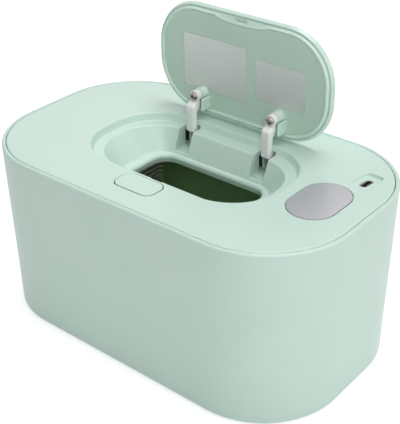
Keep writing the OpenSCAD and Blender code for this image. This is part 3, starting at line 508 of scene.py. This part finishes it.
def smoothNodeGroup():
    # merges doubled points and shades smooth across edges flatter than sharpTurn
    group = bpy.data.node_groups.new("smoothCad", "GeometryNodeTree")
    group.interface.new_socket("Geometry", in_out="INPUT", socket_type="NodeSocketGeometry")
    group.interface.new_socket("Geometry", in_out="OUTPUT", socket_type="NodeSocketGeometry")
    start = addNode(group, "NodeGroupInput")
    merged = addNode(group, "GeometryNodeMergeByDistance", {"Distance": cadWeld * mm}, {
        "Geometry": start.outputs[0]})
    turn = addNode(group, "GeometryNodeInputMeshEdgeAngle")
    crisp = addNode(group, "FunctionNodeCompare", {
        "data_type": "FLOAT", "operation": "GREATER_THAN", 1: math.radians(sharpTurn)}, {0: turn.outputs[0]})
    edges = addNode(group, "GeometryNodeStoreNamedAttribute", {
        "data_type": "BOOLEAN", "domain": "EDGE", "Name": "sharp_edge"}, {
        "Geometry": merged.outputs[0], "Value": crisp.outputs[0]})
    smooth = addNode(group, "GeometryNodeSetShadeSmooth", links={"Geometry": edges.outputs[0]})
    addNode(group, "NodeGroupOutput", links={"Geometry": smooth.outputs[0]})
    return group


smoothGroup = smoothNodeGroup()


def dressNode(name, material, edge):
    node = nodes[name]
    node.data.materials.clear()
    node.data.materials.append(materials[material])
    node.modifiers.new("smooth", "NODES").node_group = smoothGroup
    if edge:
        roundEdges(node, edge, angle=sharpTurn, segments=2)
        evenShading(node)


dressed = {
    "binPolypropylene": "inner_bin", "polyethyleneFoam": "insulation_jacket insulation_base",
    "footRubber": "rubber_feet", "screwZinc": "base_screws deck_screws board_screws",
    "mintAbsDeck": "deck_underside", "gasketSilicone": "deck_gasket", "rolledAluminium": "heater_plate",
    "heaterPolyimide": "heater_film", "heaterFelt": "heater_pad", "fuseCeramic": "thermal_fuse",
    "sensorEpoxy": "temperature_sensor", "leadSilicone": "heater_leads", "chipEpoxy": "board_chips",
    "boardFibreglass": "control_board display_board", "headerNylon": "board_link usb_tongue",
    "displayEpoxy": "led_display", "socketSteel": "usb_socket", "latchAcetal": "latch_slide",
    "springSteel": "hinge_pin_left hinge_pin_right hinge_spring_left hinge_spring_right",
    "mintAbsButton": "release_button", "windowPolycarbonate": "display_window",
    "labelPolyester": "label_left label_right"}
# widths of their edge roundings, in mm
dressedEdges = dict(deck_gasket=0.3, heater_plate=0.15, heater_pad=0.3, board_chips=0.2, board_link=0.2,
                    latch_slide=0.15, release_button=0.45, display_window=0.35)
for material, names in dressed.items():
    for name in names.split():
        dressNode(name, material, dressedEdges.get(name, 0))
print("CAD nodes dressed")


# the tub

tubPlan = dict(halfX=112.5, halfY=68.0, radius=51.0, draft=2.0, bottom=1.0, wall=2.4, rimRound=1.3, rimInner=0.6,
               footRound=1.0, floor=2.4, step=77.5, stepWidth=1.6, steps=40,
               footX=70.0, footY=38.0, footRadius=6.0, footSeat=1.0, footSteps=10)


def tubRing(inset, z):
    p = tubPlan
    return insetRing(p, inset + p["draft"] * (deckTop - z) / (deckTop - p["bottom"]), z)


def buildTub():
    p = tubPlan
    bottom = p["bottom"]
    bm = bmesh.new()
    profile = [(inset, bottom + drop) for inset, drop in arc(p["footRound"])]
    rim = [(inset, deckTop - drop) for inset, drop in arc(p["rimRound"])]
    profile += rim[::-1]
    profile += [(p["wall"] - inset, deckTop - drop) for inset, drop in arc(p["rimInner"])]
    profile += [(p["wall"], p["step"]), (p["wall"] + p["stepWidth"], p["step"]),
                (p["wall"] + p["stepWidth"], bottom + p["floor"])]
    outer, inner = loftRings(bm, [tubRing(i, z) for i, z in profile])
    holes = []
    for sx in (-1, 1):
        for sy in (-1, 1):
            centre = (sx * p["footX"], sy * p["footY"])
            low, high = loftRings(bm, [
                ringPoints(p["footRadius"], p["footRadius"], p["footRadius"] - hair, z, centre, p["footSteps"])
                for z in (bottom, bottom + p["footSeat"])])
            fillFace(bm, [high])
            holes.append(low)
    fillFace(bm, [outer] + holes)
    fillFace(bm, [inner])
    return solidFrom(bm, "tubShell")


finishPiece(buildTub(), materials["mintAbsShell"], "base", ["outer_shell"], angle=50)
print("tub made")


# the deck's panel, with its recess, basin, mouth and pockets

panelPlan = dict(
    halfX=109.8, halfY=65.3, radius=48.3, edgeRound=0.8, underEdge=0.2, thickness=2.2,
    skirtInset=0.9, wall=1.8, depth=24.2, steps=32,
    button=dict(centre=(0, -44.0), halfX=13.6, halfY=7.85, radius=5.6, edge=0.45, steps=12),
    hookWay=dict(halfX=3.6, front=-32.1, rear=-29.6, top=4.0, depth=9.0),
    window=dict(centre=(83.2, 0), halfX=13.65, halfY=20.25, radius=13.64, edge=0.3, seat=1.85, lip=1.7, steps=20),
    # the inlet's floor sinks towards the rear: growth of each ring of its rim and share of that sinking, and
    # growth and drop of each ring of the slot, where None is the panel's underside
    inlet=dict(x=91.9, front=22.6, rear=41.0, halfWidth=5.5, corner=2.6, step=0.04, sink=1.8, steps=10,
               rim=((0.3, 0), (0.12, 0.12), (0, 0.4), (0, 0.85), (-0.25, 1.0)),
               slotY=31.2, slotHalfX=2.1, slotHalfY=5.1,
               slotRim=((0.25, 0.0), (0.05, 0.1), (0, 0.35), (0, None))))

# in front the basin reaches a little further out than behind, so that the ledge there is narrower; this starts
# at the foot's height and is full one rise above it, and leaves out the rings that are longer than withinX
frontReach = dict(most=1.6, foot=-19.6, rise=15, withinX=58)
# (half length, half depth, corner radius, height), roundings before and after
basinPath = [
    ((62.6, 35.7, 31.2, 0.0), 0, 0),
    ((61.8, 34.9, 30.4, 0.0), 0.75, 0.95),
    ((60.6, 33.7, 29.2, -4.6), 0.6, 0.6),
    ((55.6, 26.9, 25.2, -4.6), 0.7, 0.7),
    ((44.0, 21.2, 14.0, -18.4), 0.35, 0.25),
    ((39.1, 20.0, 10.2, -19.1), 0.3, 0.3),
    ((38.3, 19.3, 9.4, -20.2), 0.3, 0.4),
    ((38.2, 19.2, 9.3, -21.4), 0.6, 1.6),
    ((39.4, 20.3, 10.5, -24.2), 0, 0)]
basinBack = [
    (41.0, 21.5, 10.6, -24.2), (41.8, 22.2, 11.4, -21.2), (46.4, 23.4, 16.4, -18.8), (57.4, 28.7, 27.0, -6.6),
    (62.4, 35.5, 31.0, -6.6), (62.9, 36.0, 31.5, -2.2)]

# solids added behind the basin's wall and room cut out of them, at each arm: half width and section across X
pocketPlan = (
    ("UNION", 6.4, [(24.0, -18.8), (45.0, -18.8), (45.0, -1.9), (35.6, -1.9), (34.6, -5.6), (28.0, -5.6),
                    (24.8, -17.0)]),
    ("UNION", 10.2, [(30.6, -23.0), (37.0, -23.0), (37.0, -1.9), (35.9, -1.9), (34.9, -5.6), (30.6, -5.6)]),
    ("DIFFERENCE", 5.05, [(15, -17.2), (45.2, -17.2), (45.2, -3.1), (34.4, -3.1), (34.4, -1.4), (15, -1.4)]),
    ("DIFFERENCE", 10.6, [(32.0, -17.2), (37.2, -17.2), (37.2, -7.3), (32.0, -7.3)]))


def buildPanel():
    p = panelPlan
    top, under, bottom = deckTop, deckTop - p["thickness"], deckTop - p["depth"]
    bm = bmesh.new()

    profile = [(inset, top - drop) for inset, drop in arc(p["edgeRound"])]
    edge, skirt, inside = p["underEdge"], p["skirtInset"], p["skirtInset"] + p["wall"]
    profile += [(0, under + edge), (edge, under), (skirt, under), (skirt, bottom), (inside, bottom), (inside, under)]
    outerTop, outerUnder = loftRings(bm, [insetRing(p, i, z) for i, z in profile])

    basin = []
    for x, y, r, z in softenPath(basinPath) + basinBack:
        ring = ringPoints(x, y, r, top + z, steps=p["steps"])
        reach = frontReach["most"] * max(0, min(1, (z - frontReach["foot"]) / frontReach["rise"]))
        for point in ring:
            point.y += (reach if x < frontReach["withinX"] else 0) * min(0, point.y) / y
        basin.append(ring)
    basinTop, basinUnder = loftRings(bm, basin)

    def seatRings(plan, path):
        return loftRings(bm, [insetRing(plan, -grow, top - drop) for grow, drop in path])

    b, w = p["button"], p["window"]
    buttonTop, buttonUnder = seatRings(b, arc(b["edge"]) + [(0, p["thickness"])])
    windowTop, windowUnder = seatRings(w, arc(w["edge"]) + [
        (0, w["seat"]), (-w["lip"], w["seat"]), (-w["lip"], p["thickness"])])

    n = p["inlet"]
    length = n["rear"] - n["front"]
    middle = (n["x"], (n["front"] + n["rear"]) / 2)

    def rampDrop(y):
        return n["step"] + n["sink"] * min(1, max(0, (y - n["front"]) / length))

    rimRings = []
    for grow, share in n["rim"]:
        ring = ringPoints(n["halfWidth"] + grow, length / 2 + grow, n["corner"] + grow, top, middle, n["steps"])
        for point in ring:
            point.z = top - share * rampDrop(point.y)
        rimRings.append(ring)
    inletTop, rampEdge = loftRings(bm, rimRings)
    slotRings = []
    for grow, drop in n["slotRim"]:
        ring = ringPoints(n["slotHalfX"] + grow, n["slotHalfY"] + grow, n["slotHalfX"] - hair + grow, top,
                          (n["x"], n["slotY"]), n["steps"])
        for point in ring:
            point.z = under if drop is None else top - rampDrop(point.y) - drop
        slotRings.append(ring)
    slotTop, slotUnder = loftRings(bm, slotRings)
    fillFace(bm, [rampEdge, slotTop], Vector((0, n["sink"] / length, 1)).normalized())

    fillFace(bm, [outerTop, basinTop, buttonTop, windowTop, inletTop])
    fillFace(bm, [outerUnder, basinUnder, buttonUnder, windowUnder, slotUnder])
    panel = solidFrom(bm, "deckPanel")

    for x in armPlaces:
        for operation, half, section in pocketPlan:
            outline = [(y, deckTop + z) for y, z in section]
            combine(panel, solidFrom(prism(outline, "X", x - half, x + half)), operation)
    h = p["hookWay"]
    way = prism(rectangle(-h["halfX"], h["halfX"], h["front"], h["rear"]), "Z", top - h["depth"], top - h["top"])
    combine(panel, solidFrom(way), "DIFFERENCE")
    return panel


panel = buildPanel()
finishPiece(panel, materials["mintAbsDeck"], "deck", ["top_panel"], angle=38)
print("deck panel made,", len(panel.data.polygons), "faces")


# the lid, drawn closed and turned open

lidPlan = dict(halfX=60.8, halfY=33.6, radius=29.4, centre=(0, -0.6), rimHeight=3.0, lean=0.9, edgeRound=1.0,
               rimFoot=0.3, flare=(0.06, 0.36), rimInner=1.84, rimChamfer=0.15, skin=1.4,
               steps=32, edgeSteps=8, footSteps=4)
# the liner's ring is a bead inside a flat shelf, which a thin groove parts from the rim
linerPlan = dict(
    fit=0.02, foot=2.15, footDepth=2.9, footEdge=(0.08, 0.12), grooveDepth=2.45, grooveEdge=0.04,
    shelf=2.45, ridge=3.55, inner=4.4, ridgeDepth=4.3, outerSteps=8, innerSteps=6,
    seam=0.45, seamDepth=0.45, seamEdge=(0.08, 0.2), tabHalf=17.4, tabBulge=2.5, tabSteps=32,
    # the hook's slot, the wider room for the barb behind its mouth, and the lead-in slope below it
    slot=dict(half=4.4, middle=-30.6, bulge=1.0, blunt=0.5, front=6.0, depth=2.3, steps=14),
    room=dict(half=3.7, low=-0.9, high=1.55, front=0.3),
    slope=dict(half=3.4, section=[(-29.75, -3.15), (-28.85, -4.2), (-29.75, -4.2)]),
    # a groove round each label: a wider sinking between two heights, filled again under the label
    labelGroove=0.5, labelSink=(-1.0, 0.3), labelFill=(0.0, 0.6),
    labels=[dict(centre=(-18.9, 1.2), halfX=22.5, halfY=16.3, radius=1.5, steps=4),
            dict(centre=(27.4, 1.35), halfX=16.6, halfY=11.85, radius=1.5, steps=4)],
    # growth and rise of the rings at the screw boss's tip and root
    bossY=18.6, bossBore=1.3, bossRadius=3.5, bossHeight=5.0, bossTip=((-0.35, 0), (-0.1, 0.1), (0, 0.35)),
    bossRoot=((0, -0.5), (0.12, -0.18), (0.4, 0), (0.4, 0.6)),
    # inset and rise of the rings at the fin's tip
    finGap=3.5, finThick=1.25, finFrom=20.4, finTo=27.9, finHeight=7.1, finCorner=0.45, finSteps=3, finRoot=0.5,
    finTip=((0.28, 0), (0.1, 0.06), (0, 0.28)), flute=dict(depth=0.6, ends=0.9, low=5.4, high=3.2))


def lidRing(inset, z):
    return insetRing(lidPlan, inset, deckTop + z)


def buildLidCover():
    p = lidPlan
    bm = bmesh.new()
    low, foot, corner = -p["rimHeight"], p["rimFoot"], p["rimChamfer"]
    profile = [(inset, -drop) for inset, drop in arc(p["edgeRound"], p["edgeSteps"])]
    profile += [(p["lean"] - p["flare"][0], low + p["flare"][1])]
    profile += [(p["lean"] + foot * (1 - math.cos(a)), low + foot * (1 - math.sin(a)))
                for a in [math.pi / 2 * k / p["footSteps"] for k in range(1, p["footSteps"] + 1)]]
    profile += [(p["rimInner"] - corner, low), (p["rimInner"], low + corner), (p["rimInner"], -p["skin"])]
    outside, inside = loftRings(bm, [lidRing(i, z) for i, z in profile])
    fillFace(bm, [outside])
    fillFace(bm, [inside])
    return solidFrom(bm, "lidShell", onLid=True)


def linerLoop(inset, z, tabDepth=None):
    # the ring's outline at one inset from the lid's edge, with the catch tab bulging from its front
    p, q = lidPlan, linerPlan
    share = min(1, max(0, (inset - q["shelf"]) / (q["ridge"] - q["shelf"])))
    half = q["tabHalf"] + max(0, inset - q["ridge"])
    front = p["centre"][1] - (p["halfY"] - inset)
    height = deckTop + (z if tabDepth is None else -tabDepth)
    tab = [Vector((-half * math.cos(a), front + q["tabBulge"] * share * math.sin(a), height))
           for a in [math.pi * k / q["tabSteps"] for k in range(q["tabSteps"] + 1)]]
    base = lidRing(inset, z)
    cut = 3 * (p["steps"] + 1)  # the front starts after three quarters
    return base[:cut] + tab + base[cut:]


def buildLinerRing():
    p, q = lidPlan, linerPlan
    bm = bmesh.new()
    face, low, deep, fit = -p["rimHeight"], q["footDepth"], q["ridgeDepth"], q["fit"]
    footIn, footUp = q["footEdge"]
    loops = [linerLoop(inset, z) for inset, z in (
        (p["rimInner"] + fit, -p["skin"]), (p["rimInner"] + fit, -q["grooveDepth"]),
        (q["foot"] - fit, -q["grooveDepth"]), (q["foot"], -q["grooveDepth"] - q["grooveEdge"]),
        (q["foot"], -low + footUp), (q["foot"] + footIn, -low))]
    for k in range(q["outerSteps"] + 1):
        a = math.pi / 2 * k / q["outerSteps"]
        inset = q["ridge"] - (q["ridge"] - q["shelf"]) * math.cos(a)
        loops.append(linerLoop(inset, -low - (deep - low) * math.sin(a), low + (deep - low) * (1 - math.cos(a))))
    for k in range(1, q["innerSteps"]):
        a = math.pi / 2 * k / q["innerSteps"]
        inset = q["ridge"] + (q["inner"] - q["ridge"]) * math.sin(a)
        loops.append(linerLoop(inset, -low - (deep - low) * math.cos(a)))
    edge, out = q["seamEdge"]
    loops += [linerLoop(q["inner"] + i, z) for i, z in (
        (0, face), (0, face + q["seamDepth"]), (q["seam"], face + q["seamDepth"]),
        (edge + q["seam"], face + edge), (out + q["seam"], face))]
    back, panelEdge = loftRings(bm, loops)
    fillFace(bm, [panelEdge])
    fillFace(bm, [back])
    return solidFrom(bm, "lidLiner", onLid=True)


def cutHookWay(liner, face):
    q = linerPlan
    s, room, slope = q["slot"], q["room"], q["slope"]
    back = deckTop - s["depth"]
    turns = [math.pi * k / s["steps"] for k in range(s["steps"] + 1)]
    eye = [(s["half"] * math.cos(a), s["bulge"] * math.sin(a) ** s["blunt"]) for a in turns]
    mouth = [(-x, s["middle"] - y) for x, y in eye] + [(x, s["middle"] + y) for x, y in eye[1:-1]]
    section = rectangle(-room["half"], room["half"], s["middle"] + room["low"], s["middle"] + room["high"])
    lead = [(y, deckTop + z) for y, z in slope["section"]]
    for cut in (prism(mouth, "Z", deckTop - s["front"], back),
                prism(section, "Z", deckTop + face - room["front"], back - hair),
                prism(lead, "X", -slope["half"], slope["half"])):
        combine(liner, solidFrom(cut, onLid=True), "DIFFERENCE")


def grooveLabels(liner, face):
    q = linerPlan
    for seat in q["labels"]:
        steps = (("DIFFERENCE", q["labelGroove"], q["labelSink"]), ("UNION", 0, q["labelFill"]))
        for operation, grow, ends in steps:
            plate = bmesh.new()
            closedLoft(plate, [insetRing(seat, -grow, deckTop + face + z) for z in ends])
            combine(liner, solidFrom(plate, onLid=True), operation)


def addBossAndFins(liner, face, x):
    q = linerPlan
    base, low = deckTop + face, deckTop + (face - q["bossHeight"])
    r, flute = q["bossRadius"], q["flute"]
    profile = [(q["bossBore"], low)] + [(r + grow, low + rise) for grow, rise in q["bossTip"]]
    profile += [(r + grow, base + rise) for grow, rise in q["bossRoot"]]
    combine(liner, solidFrom(turned(profile, centre=(x, q["bossY"], 0)), onLid=True), "UNION")
    for hand in (-1, 1):
        fin = bmesh.new()
        centre = (x + hand * (q["finGap"] + q["finThick"] / 2), (q["finFrom"] + q["finTo"]) / 2)
        halfX, halfY = q["finThick"] / 2, (q["finTo"] - q["finFrom"]) / 2
        closedLoft(fin, [
            ringPoints(halfX - i, halfY - i, q["finCorner"] - i, base - q["finHeight"] + z, centre, q["finSteps"])
            for i, z in q["finTip"] + ((0, q["finHeight"] + q["finRoot"]),)])
        combine(liner, solidFrom(fin, onLid=True), "UNION")
        # a shallow flute down the fin's outer side
        outside = x + hand * (q["finGap"] + q["finThick"])
        section = rectangle(outside - flute["depth"], outside + flute["depth"],
                            q["finFrom"] + flute["ends"], q["finTo"] - flute["ends"])
        groove = prism(section, "Z", base - flute["low"], base - flute["high"])
        combine(liner, solidFrom(groove, onLid=True), "DIFFERENCE")


def buildLidLiner():
    face = -lidPlan["rimHeight"]
    liner = buildLinerRing()
    cutHookWay(liner, face)
    grooveLabels(liner, face)
    for x in armPlaces:
        addBossAndFins(liner, face, x)
    return liner


def texturePanel(piece, material, within=0.02, facing=0.99):
    # the flat panel inside the ring gets its own material, duller and a little darker
    piece.data.materials.append(material)
    level = (hingeLine[0] + deckTop - lidPlan["rimHeight"] - hingeLine[1]) * mm
    for face in piece.data.polygons:
        if abs(face.center.y - level) < within * mm and face.normal.y < -facing:
            face.material_index = 1


finishPiece(buildLidCover(), materials["mintAbsLid"], "lid", ["lid_cover"], angle=50)
liner = finishPiece(buildLidLiner(), materials["mintAbsRing"], "lid", ["lid_liner"], angle=34)
texturePanel(liner, materials["mintAbsLiner"])
print("lid made")


# the two arms and their screws, drawn with the lid open

armPlan = dict(
    front=30.0, rear=34.0, halfX=2.7, barHalfX=3.05, corner=1.2, cornerSteps=6, foot=99.0, top=116.6,
    # inset and rise of the rings at the bar's foot, inset and drop of those at its top, and how both lean
    footRings=((0.75, 0.0), (0.3, 0.2), (0.08, 0.5), (0.0, 0.9)), footRise=0.25,
    topRings=((0.0, 1.5), (0.05, 1.0), (0.2, 0.55), (0.5, 0.18), (0.95, 0.0)), topRise=0.5,
    # heights of the neck's section, from its foot under the bar's rear to the collar
    neckHalf=2.6, neckFace=34.4, neckDepth=2.4, neckOverlap=1.0, neckHeights=(111.6, 115.6, 118.0, 117.4),
    collarZ=121.4, collar=3.2, collarEnd=38.5, collarEdge=((-0.45, 0), (-0.13, 0.12), (0, 0.45)), screwBore=1.3,
    footOverlap=2.0, footHeights=(0.3, -0.6, 3.6), footInset=0.15, eye=3.0, pinBore=1.05, boreReach=9, edge=0.3)
screwPlan = dict(head=2.6, height=1.55, rim=0.12, flat=0.28, tip=0.05, steps=8, thread=1.08, threadEnd=(0.3, 0.8),
                 threadLength=9.0, recess=0.62, recessLength=3.1, recessDepth=1.0, recessAbove=1.0, turns=(24, 58))


def circlePoints(centre, radius, steps=40):
    return [(centre[0] + radius * math.cos(2 * math.pi * i / steps),
             centre[1] + radius * math.sin(2 * math.pi * i / steps)) for i in range(steps)]


def buildArm(x, name):
    p = armPlan
    rear, face, neckRear = p["rear"], p["neckFace"], p["neckFace"] + p["neckDepth"]
    centre = (x, (p["front"] + rear) / 2)
    halfY = (rear - p["front"]) / 2

    def barRing(inset, z, rise, start):
        ring = ringPoints(p["barHalfX"] - inset, halfY - inset, p["corner"] - inset, z, centre, p["cornerSteps"])
        for point in ring:
            point.z += rise * (point.y - start)
        return ring

    bm = bmesh.new()
    closedLoft(bm, [barRing(i, p["foot"] + rise, -p["footRise"], rear) for i, rise in p["footRings"]] +
               [barRing(i, p["top"] - drop, p["topRise"], p["front"]) for i, drop in p["topRings"]])
    arm = solidFrom(bm, name)

    foot, bend, step, shoulder = p["neckHeights"]
    inner = rear - p["neckOverlap"]
    neck = [(inner, foot), (rear, foot), (neckRear, bend), (neckRear, p["collarZ"]), (face, p["collarZ"]),
            (face, step), (inner, shoulder)]
    collar = [(p["screwBore"], face)] + [(p["collar"] + grow, face + depth) for grow, depth in p["collarEdge"]]
    collar += [(p["collar"], p["collarEnd"]), (p["screwBore"], p["collarEnd"])]
    front, low, high = (p["foot"] + z for z in p["footHeights"])
    inner = rear - p["footOverlap"]
    link = [(inner, front), (hingeLine[0], low), (hingeLine[0], high), (inner, high)]
    linkHalf = p["halfX"] - p["footInset"]
    for part in (prism(neck, "X", x - p["neckHalf"], x + p["neckHalf"]),
                 turned(collar, centre=(x, 0, p["collarZ"]), axis="Y"),
                 prism(link, "X", x - linkHalf, x + linkHalf),
                 prism(circlePoints(hingeLine, p["eye"]), "X", x - p["halfX"], x + p["halfX"])):
        combine(arm, solidFrom(part), "UNION")
    bore = prism(circlePoints(hingeLine, p["pinBore"]), "X", x - p["boreReach"], x + p["boreReach"])
    combine(arm, solidFrom(bore), "DIFFERENCE")
    roundEdges(arm, p["edge"], angle=40)
    bakeModifiers(arm)
    return arm


def buildArmScrews():
    p = screwPlan
    screws = None
    for x, turn in zip(armPlaces, p["turns"]):
        face, z = armPlan["neckFace"], armPlan["collarZ"]
        h, r = p["height"], p["head"]
        dome = [(r * math.sin(a), face - h * (p["flat"] + (1 - p["flat"]) * math.cos(a)))
                for a in [math.pi / 2 * k / p["steps"] for k in range(p["steps"] + 1)]]
        dome[0] = (p["tip"], dome[0][1])
        end = face + p["threadLength"]
        profile = dome + [(r, face - p["rim"]), (r - p["rim"], face), (p["thread"], face), (p["thread"], end),
                          (p["threadEnd"][0], end + p["threadEnd"][1])]
        screw = solidFrom(turned(profile, centre=(x, 0, z), axis="Y"), "armScrews")
        across, along = p["recess"] / 2, p["recessLength"] / 2
        for quarter in (0, 90):
            bar = prism(rectangle(-across, across, -along, along), "Y",
                        face - h - p["recessAbove"], face - h + p["recessDepth"])
            turning = Matrix.Rotation(math.radians(turn + quarter), 4, "Y")
            bmesh.ops.transform(bar, matrix=Matrix.Translation((x, 0, z)) @ turning, verts=bar.verts)
            combine(screw, solidFrom(bar), "DIFFERENCE")
        if screws is None:
            screws = screw
        else:
            combine(screws, screw, "UNION")
    return screws


for x, name, node in zip(armPlaces, ("armLeft", "armRight"), ("arm_left", "arm_right")):
    finishPiece(buildArm(x, name), materials["armNylon"], "lid", [node], angle=45)
finishPiece(buildArmScrews(), materials["armScrewNickel"], "lid", ["arm_screws"], angle=30)
print("arms and screws made")


# the two coil springs, drawn at one length; nothing here shortens them as the button goes down

springPlan = (
    dict(node="button_spring", name="buttonSpringWire", start=(0, -43.5, 93.8), turn=0, radius=2.4, wire=0.25,
         turns=6, length=10.2, joint="button_press", towards=(0, 0, 1), seat=(0, -43.5, 93.5), keep=0.868),
    dict(node="latch_spring", name="latchSpringWire", start=(0, -62.32, 97.75), turn=-90, radius=1.4, wire=0.2,
         turns=8, length=9.84, joint="latch_travel", towards=(0, 1, 0), seat=(0, -62.6, 97.75), keep=0.931))


def buildSpring(plan, steps=24, sides=8):
    # a ring of points round the wire at each step of the coil
    rings = []
    rise = plan["length"] / plan["turns"] / (2 * math.pi)
    for k in range(plan["turns"] * steps + 1):
        a = 2 * math.pi * k / steps
        outward = Vector((math.cos(a), math.sin(a), 0))
        along = Vector((-plan["radius"] * math.sin(a), plan["radius"] * math.cos(a), rise)).normalized()
        middle = outward * plan["radius"] + Vector((0, 0, rise * a))
        rings.append([middle + plan["wire"] * (outward * math.cos(t) + along.cross(outward) * math.sin(t))
                      for t in (2 * math.pi * i / sides for i in range(sides))])
    bm = bmesh.new()
    closedLoft(bm, rings)
    bmesh.ops.transform(bm, verts=bm.verts, matrix=Matrix.Translation(plan["start"]) @ Matrix.Rotation(
        math.radians(plan["turn"]), 4, "X"))
    return solidFrom(bm, plan["name"])


for plan in springPlan:
    spring = finishPiece(buildSpring(plan), materials["springSteel"], "deck", [plan["node"]],
                         angle=60)
    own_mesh(spring)
print("springs made")


# floor, world, lamps and camera

stagePlan = dict(
    floorColour="#f4f5f5", floorSize=6.0, worldStrength=0.2, cameraLift=0.5, aimHeight=0.06,
    lamps=[
        dict(name="overhead", place=(0, 0.3, 1.8), size=1.2, power=17.6),
        dict(name="right", place=(1.75, 0.05, 0.6), size=1.2, power=6.3),
        dict(name="front", place=(1.0, -1.3, 1.1), size=1.2, power=10.4),
        dict(name="rear", place=(-1.0, 0.9, 1.2), size=1.2, power=1.5)])


def seenItself(tree):
    # 1 where the camera sees this itself, in gloss or through glass, 0 where it lights the object
    rays = addNode(tree, "ShaderNodeLightPath")
    seen = rays.outputs["Is Camera Ray"]
    for ray in ("Is Glossy Ray", "Is Transmission Ray"):
        seen = addNode(tree, "ShaderNodeMath", {"operation": "MAXIMUM"}, {0: seen, 1: rays.outputs[ray]}).outputs[0]
    return seen


def buildStage():
    p = stagePlan
    bm = bmesh.new()
    half = p["floorSize"] / 2
    bm.faces.new([bm.verts.new((x * half, y * half, 0)) for x, y in ((-1, -1), (1, -1), (1, 1), (-1, 1))])
    mesh = bpy.data.meshes.new("floor")
    bm.to_mesh(mesh)
    bm.free()
    floor = newObject("floor", mesh)
    material = bpy.data.materials.new("paperSweep")  # matt white background paper
    material.use_nodes = True
    tree = material.node_tree
    tree.nodes.clear()
    lift = addNode(tree, "ShaderNodeMath", {"operation": "MULTIPLY", 1: p["cameraLift"]}, {0: seenItself(tree)})
    paper = addNode(tree, "ShaderNodeBsdfDiffuse", {"Color": linear(p["floorColour"])})
    glow = addNode(tree, "ShaderNodeEmission", {"Color": (1, 1, 1, 1)}, {"Strength": lift.outputs[0]})
    both = addNode(tree, "ShaderNodeAddShader", links={0: paper.outputs[0], 1: glow.outputs[0]})
    addNode(tree, "ShaderNodeOutputMaterial", links={"Surface": both.outputs[0]})
    floor.data.materials.append(material)

    world = bpy.data.worlds.new("studio")
    bpy.context.scene.world = world
    world.use_nodes = True
    tree = world.node_tree
    tree.nodes.clear()
    level = addNode(tree, "ShaderNodeMapRange", {"To Min": p["worldStrength"], "To Max": 1.0}, {
        "Value": seenItself(tree)})
    sky = addNode(tree, "ShaderNodeBackground", {"Color": (1, 1, 1, 1)}, {"Strength": level.outputs[0]})
    addNode(tree, "ShaderNodeOutputWorld", links={"Surface": sky.outputs[0]})

    for plan in p["lamps"]:
        lamp = bpy.data.lights.new(plan["name"], "AREA")
        lamp.shape = "DISK"
        lamp.size = plan["size"]
        lamp.energy = plan["power"]
        light = bpy.data.objects.new(plan["name"], lamp)
        light.location = plan["place"]
        aim = Vector((0, 0, p["aimHeight"])) - light.location
        light.rotation_euler = aim.to_track_quat("-Z", "Y").to_euler()
        bpy.context.scene.collection.objects.link(light)


cameraPlan = dict(azimuth=39.643, elevation=30.898, roll=-0.685,
                  place=(306.307, -363.850, 353.449), focalPixels=969.79, imageHeight=424, sensor=36.0,
                  clip=(0.01, 20))


def buildCamera():
    p = cameraPlan
    az, el, roll = (math.radians(p[k]) for k in ("azimuth", "elevation", "roll"))
    back = Vector((math.sin(az) * math.cos(el), -math.cos(az) * math.cos(el), math.sin(el)))
    right = Vector((math.cos(az), math.sin(az), 0))
    up = back.cross(right)
    right, up = (math.cos(roll) * right + math.sin(roll) * up, -math.sin(roll) * right + math.cos(roll) * up)
    lens = bpy.data.cameras.new("camera")
    lens.sensor_width = p["sensor"]
    lens.lens = p["focalPixels"] * p["sensor"] / p["imageHeight"]
    lens.clip_start, lens.clip_end = p["clip"]
    camera = bpy.data.objects.new("camera", lens)
    camera.matrix_world = Matrix((
        (right.x, up.x, back.x, p["place"][0] * mm),
        (right.y, up.y, back.y, p["place"][1] * mm),
        (right.z, up.z, back.z, p["place"][2] * mm),
        (0, 0, 0, 1)))
    bpy.context.scene.collection.objects.link(camera)
    bpy.context.scene.camera = camera


buildStage()
buildCamera()
bpy.context.scene.view_settings.view_transform = "Standard"
print("stage, lamps and camera set")
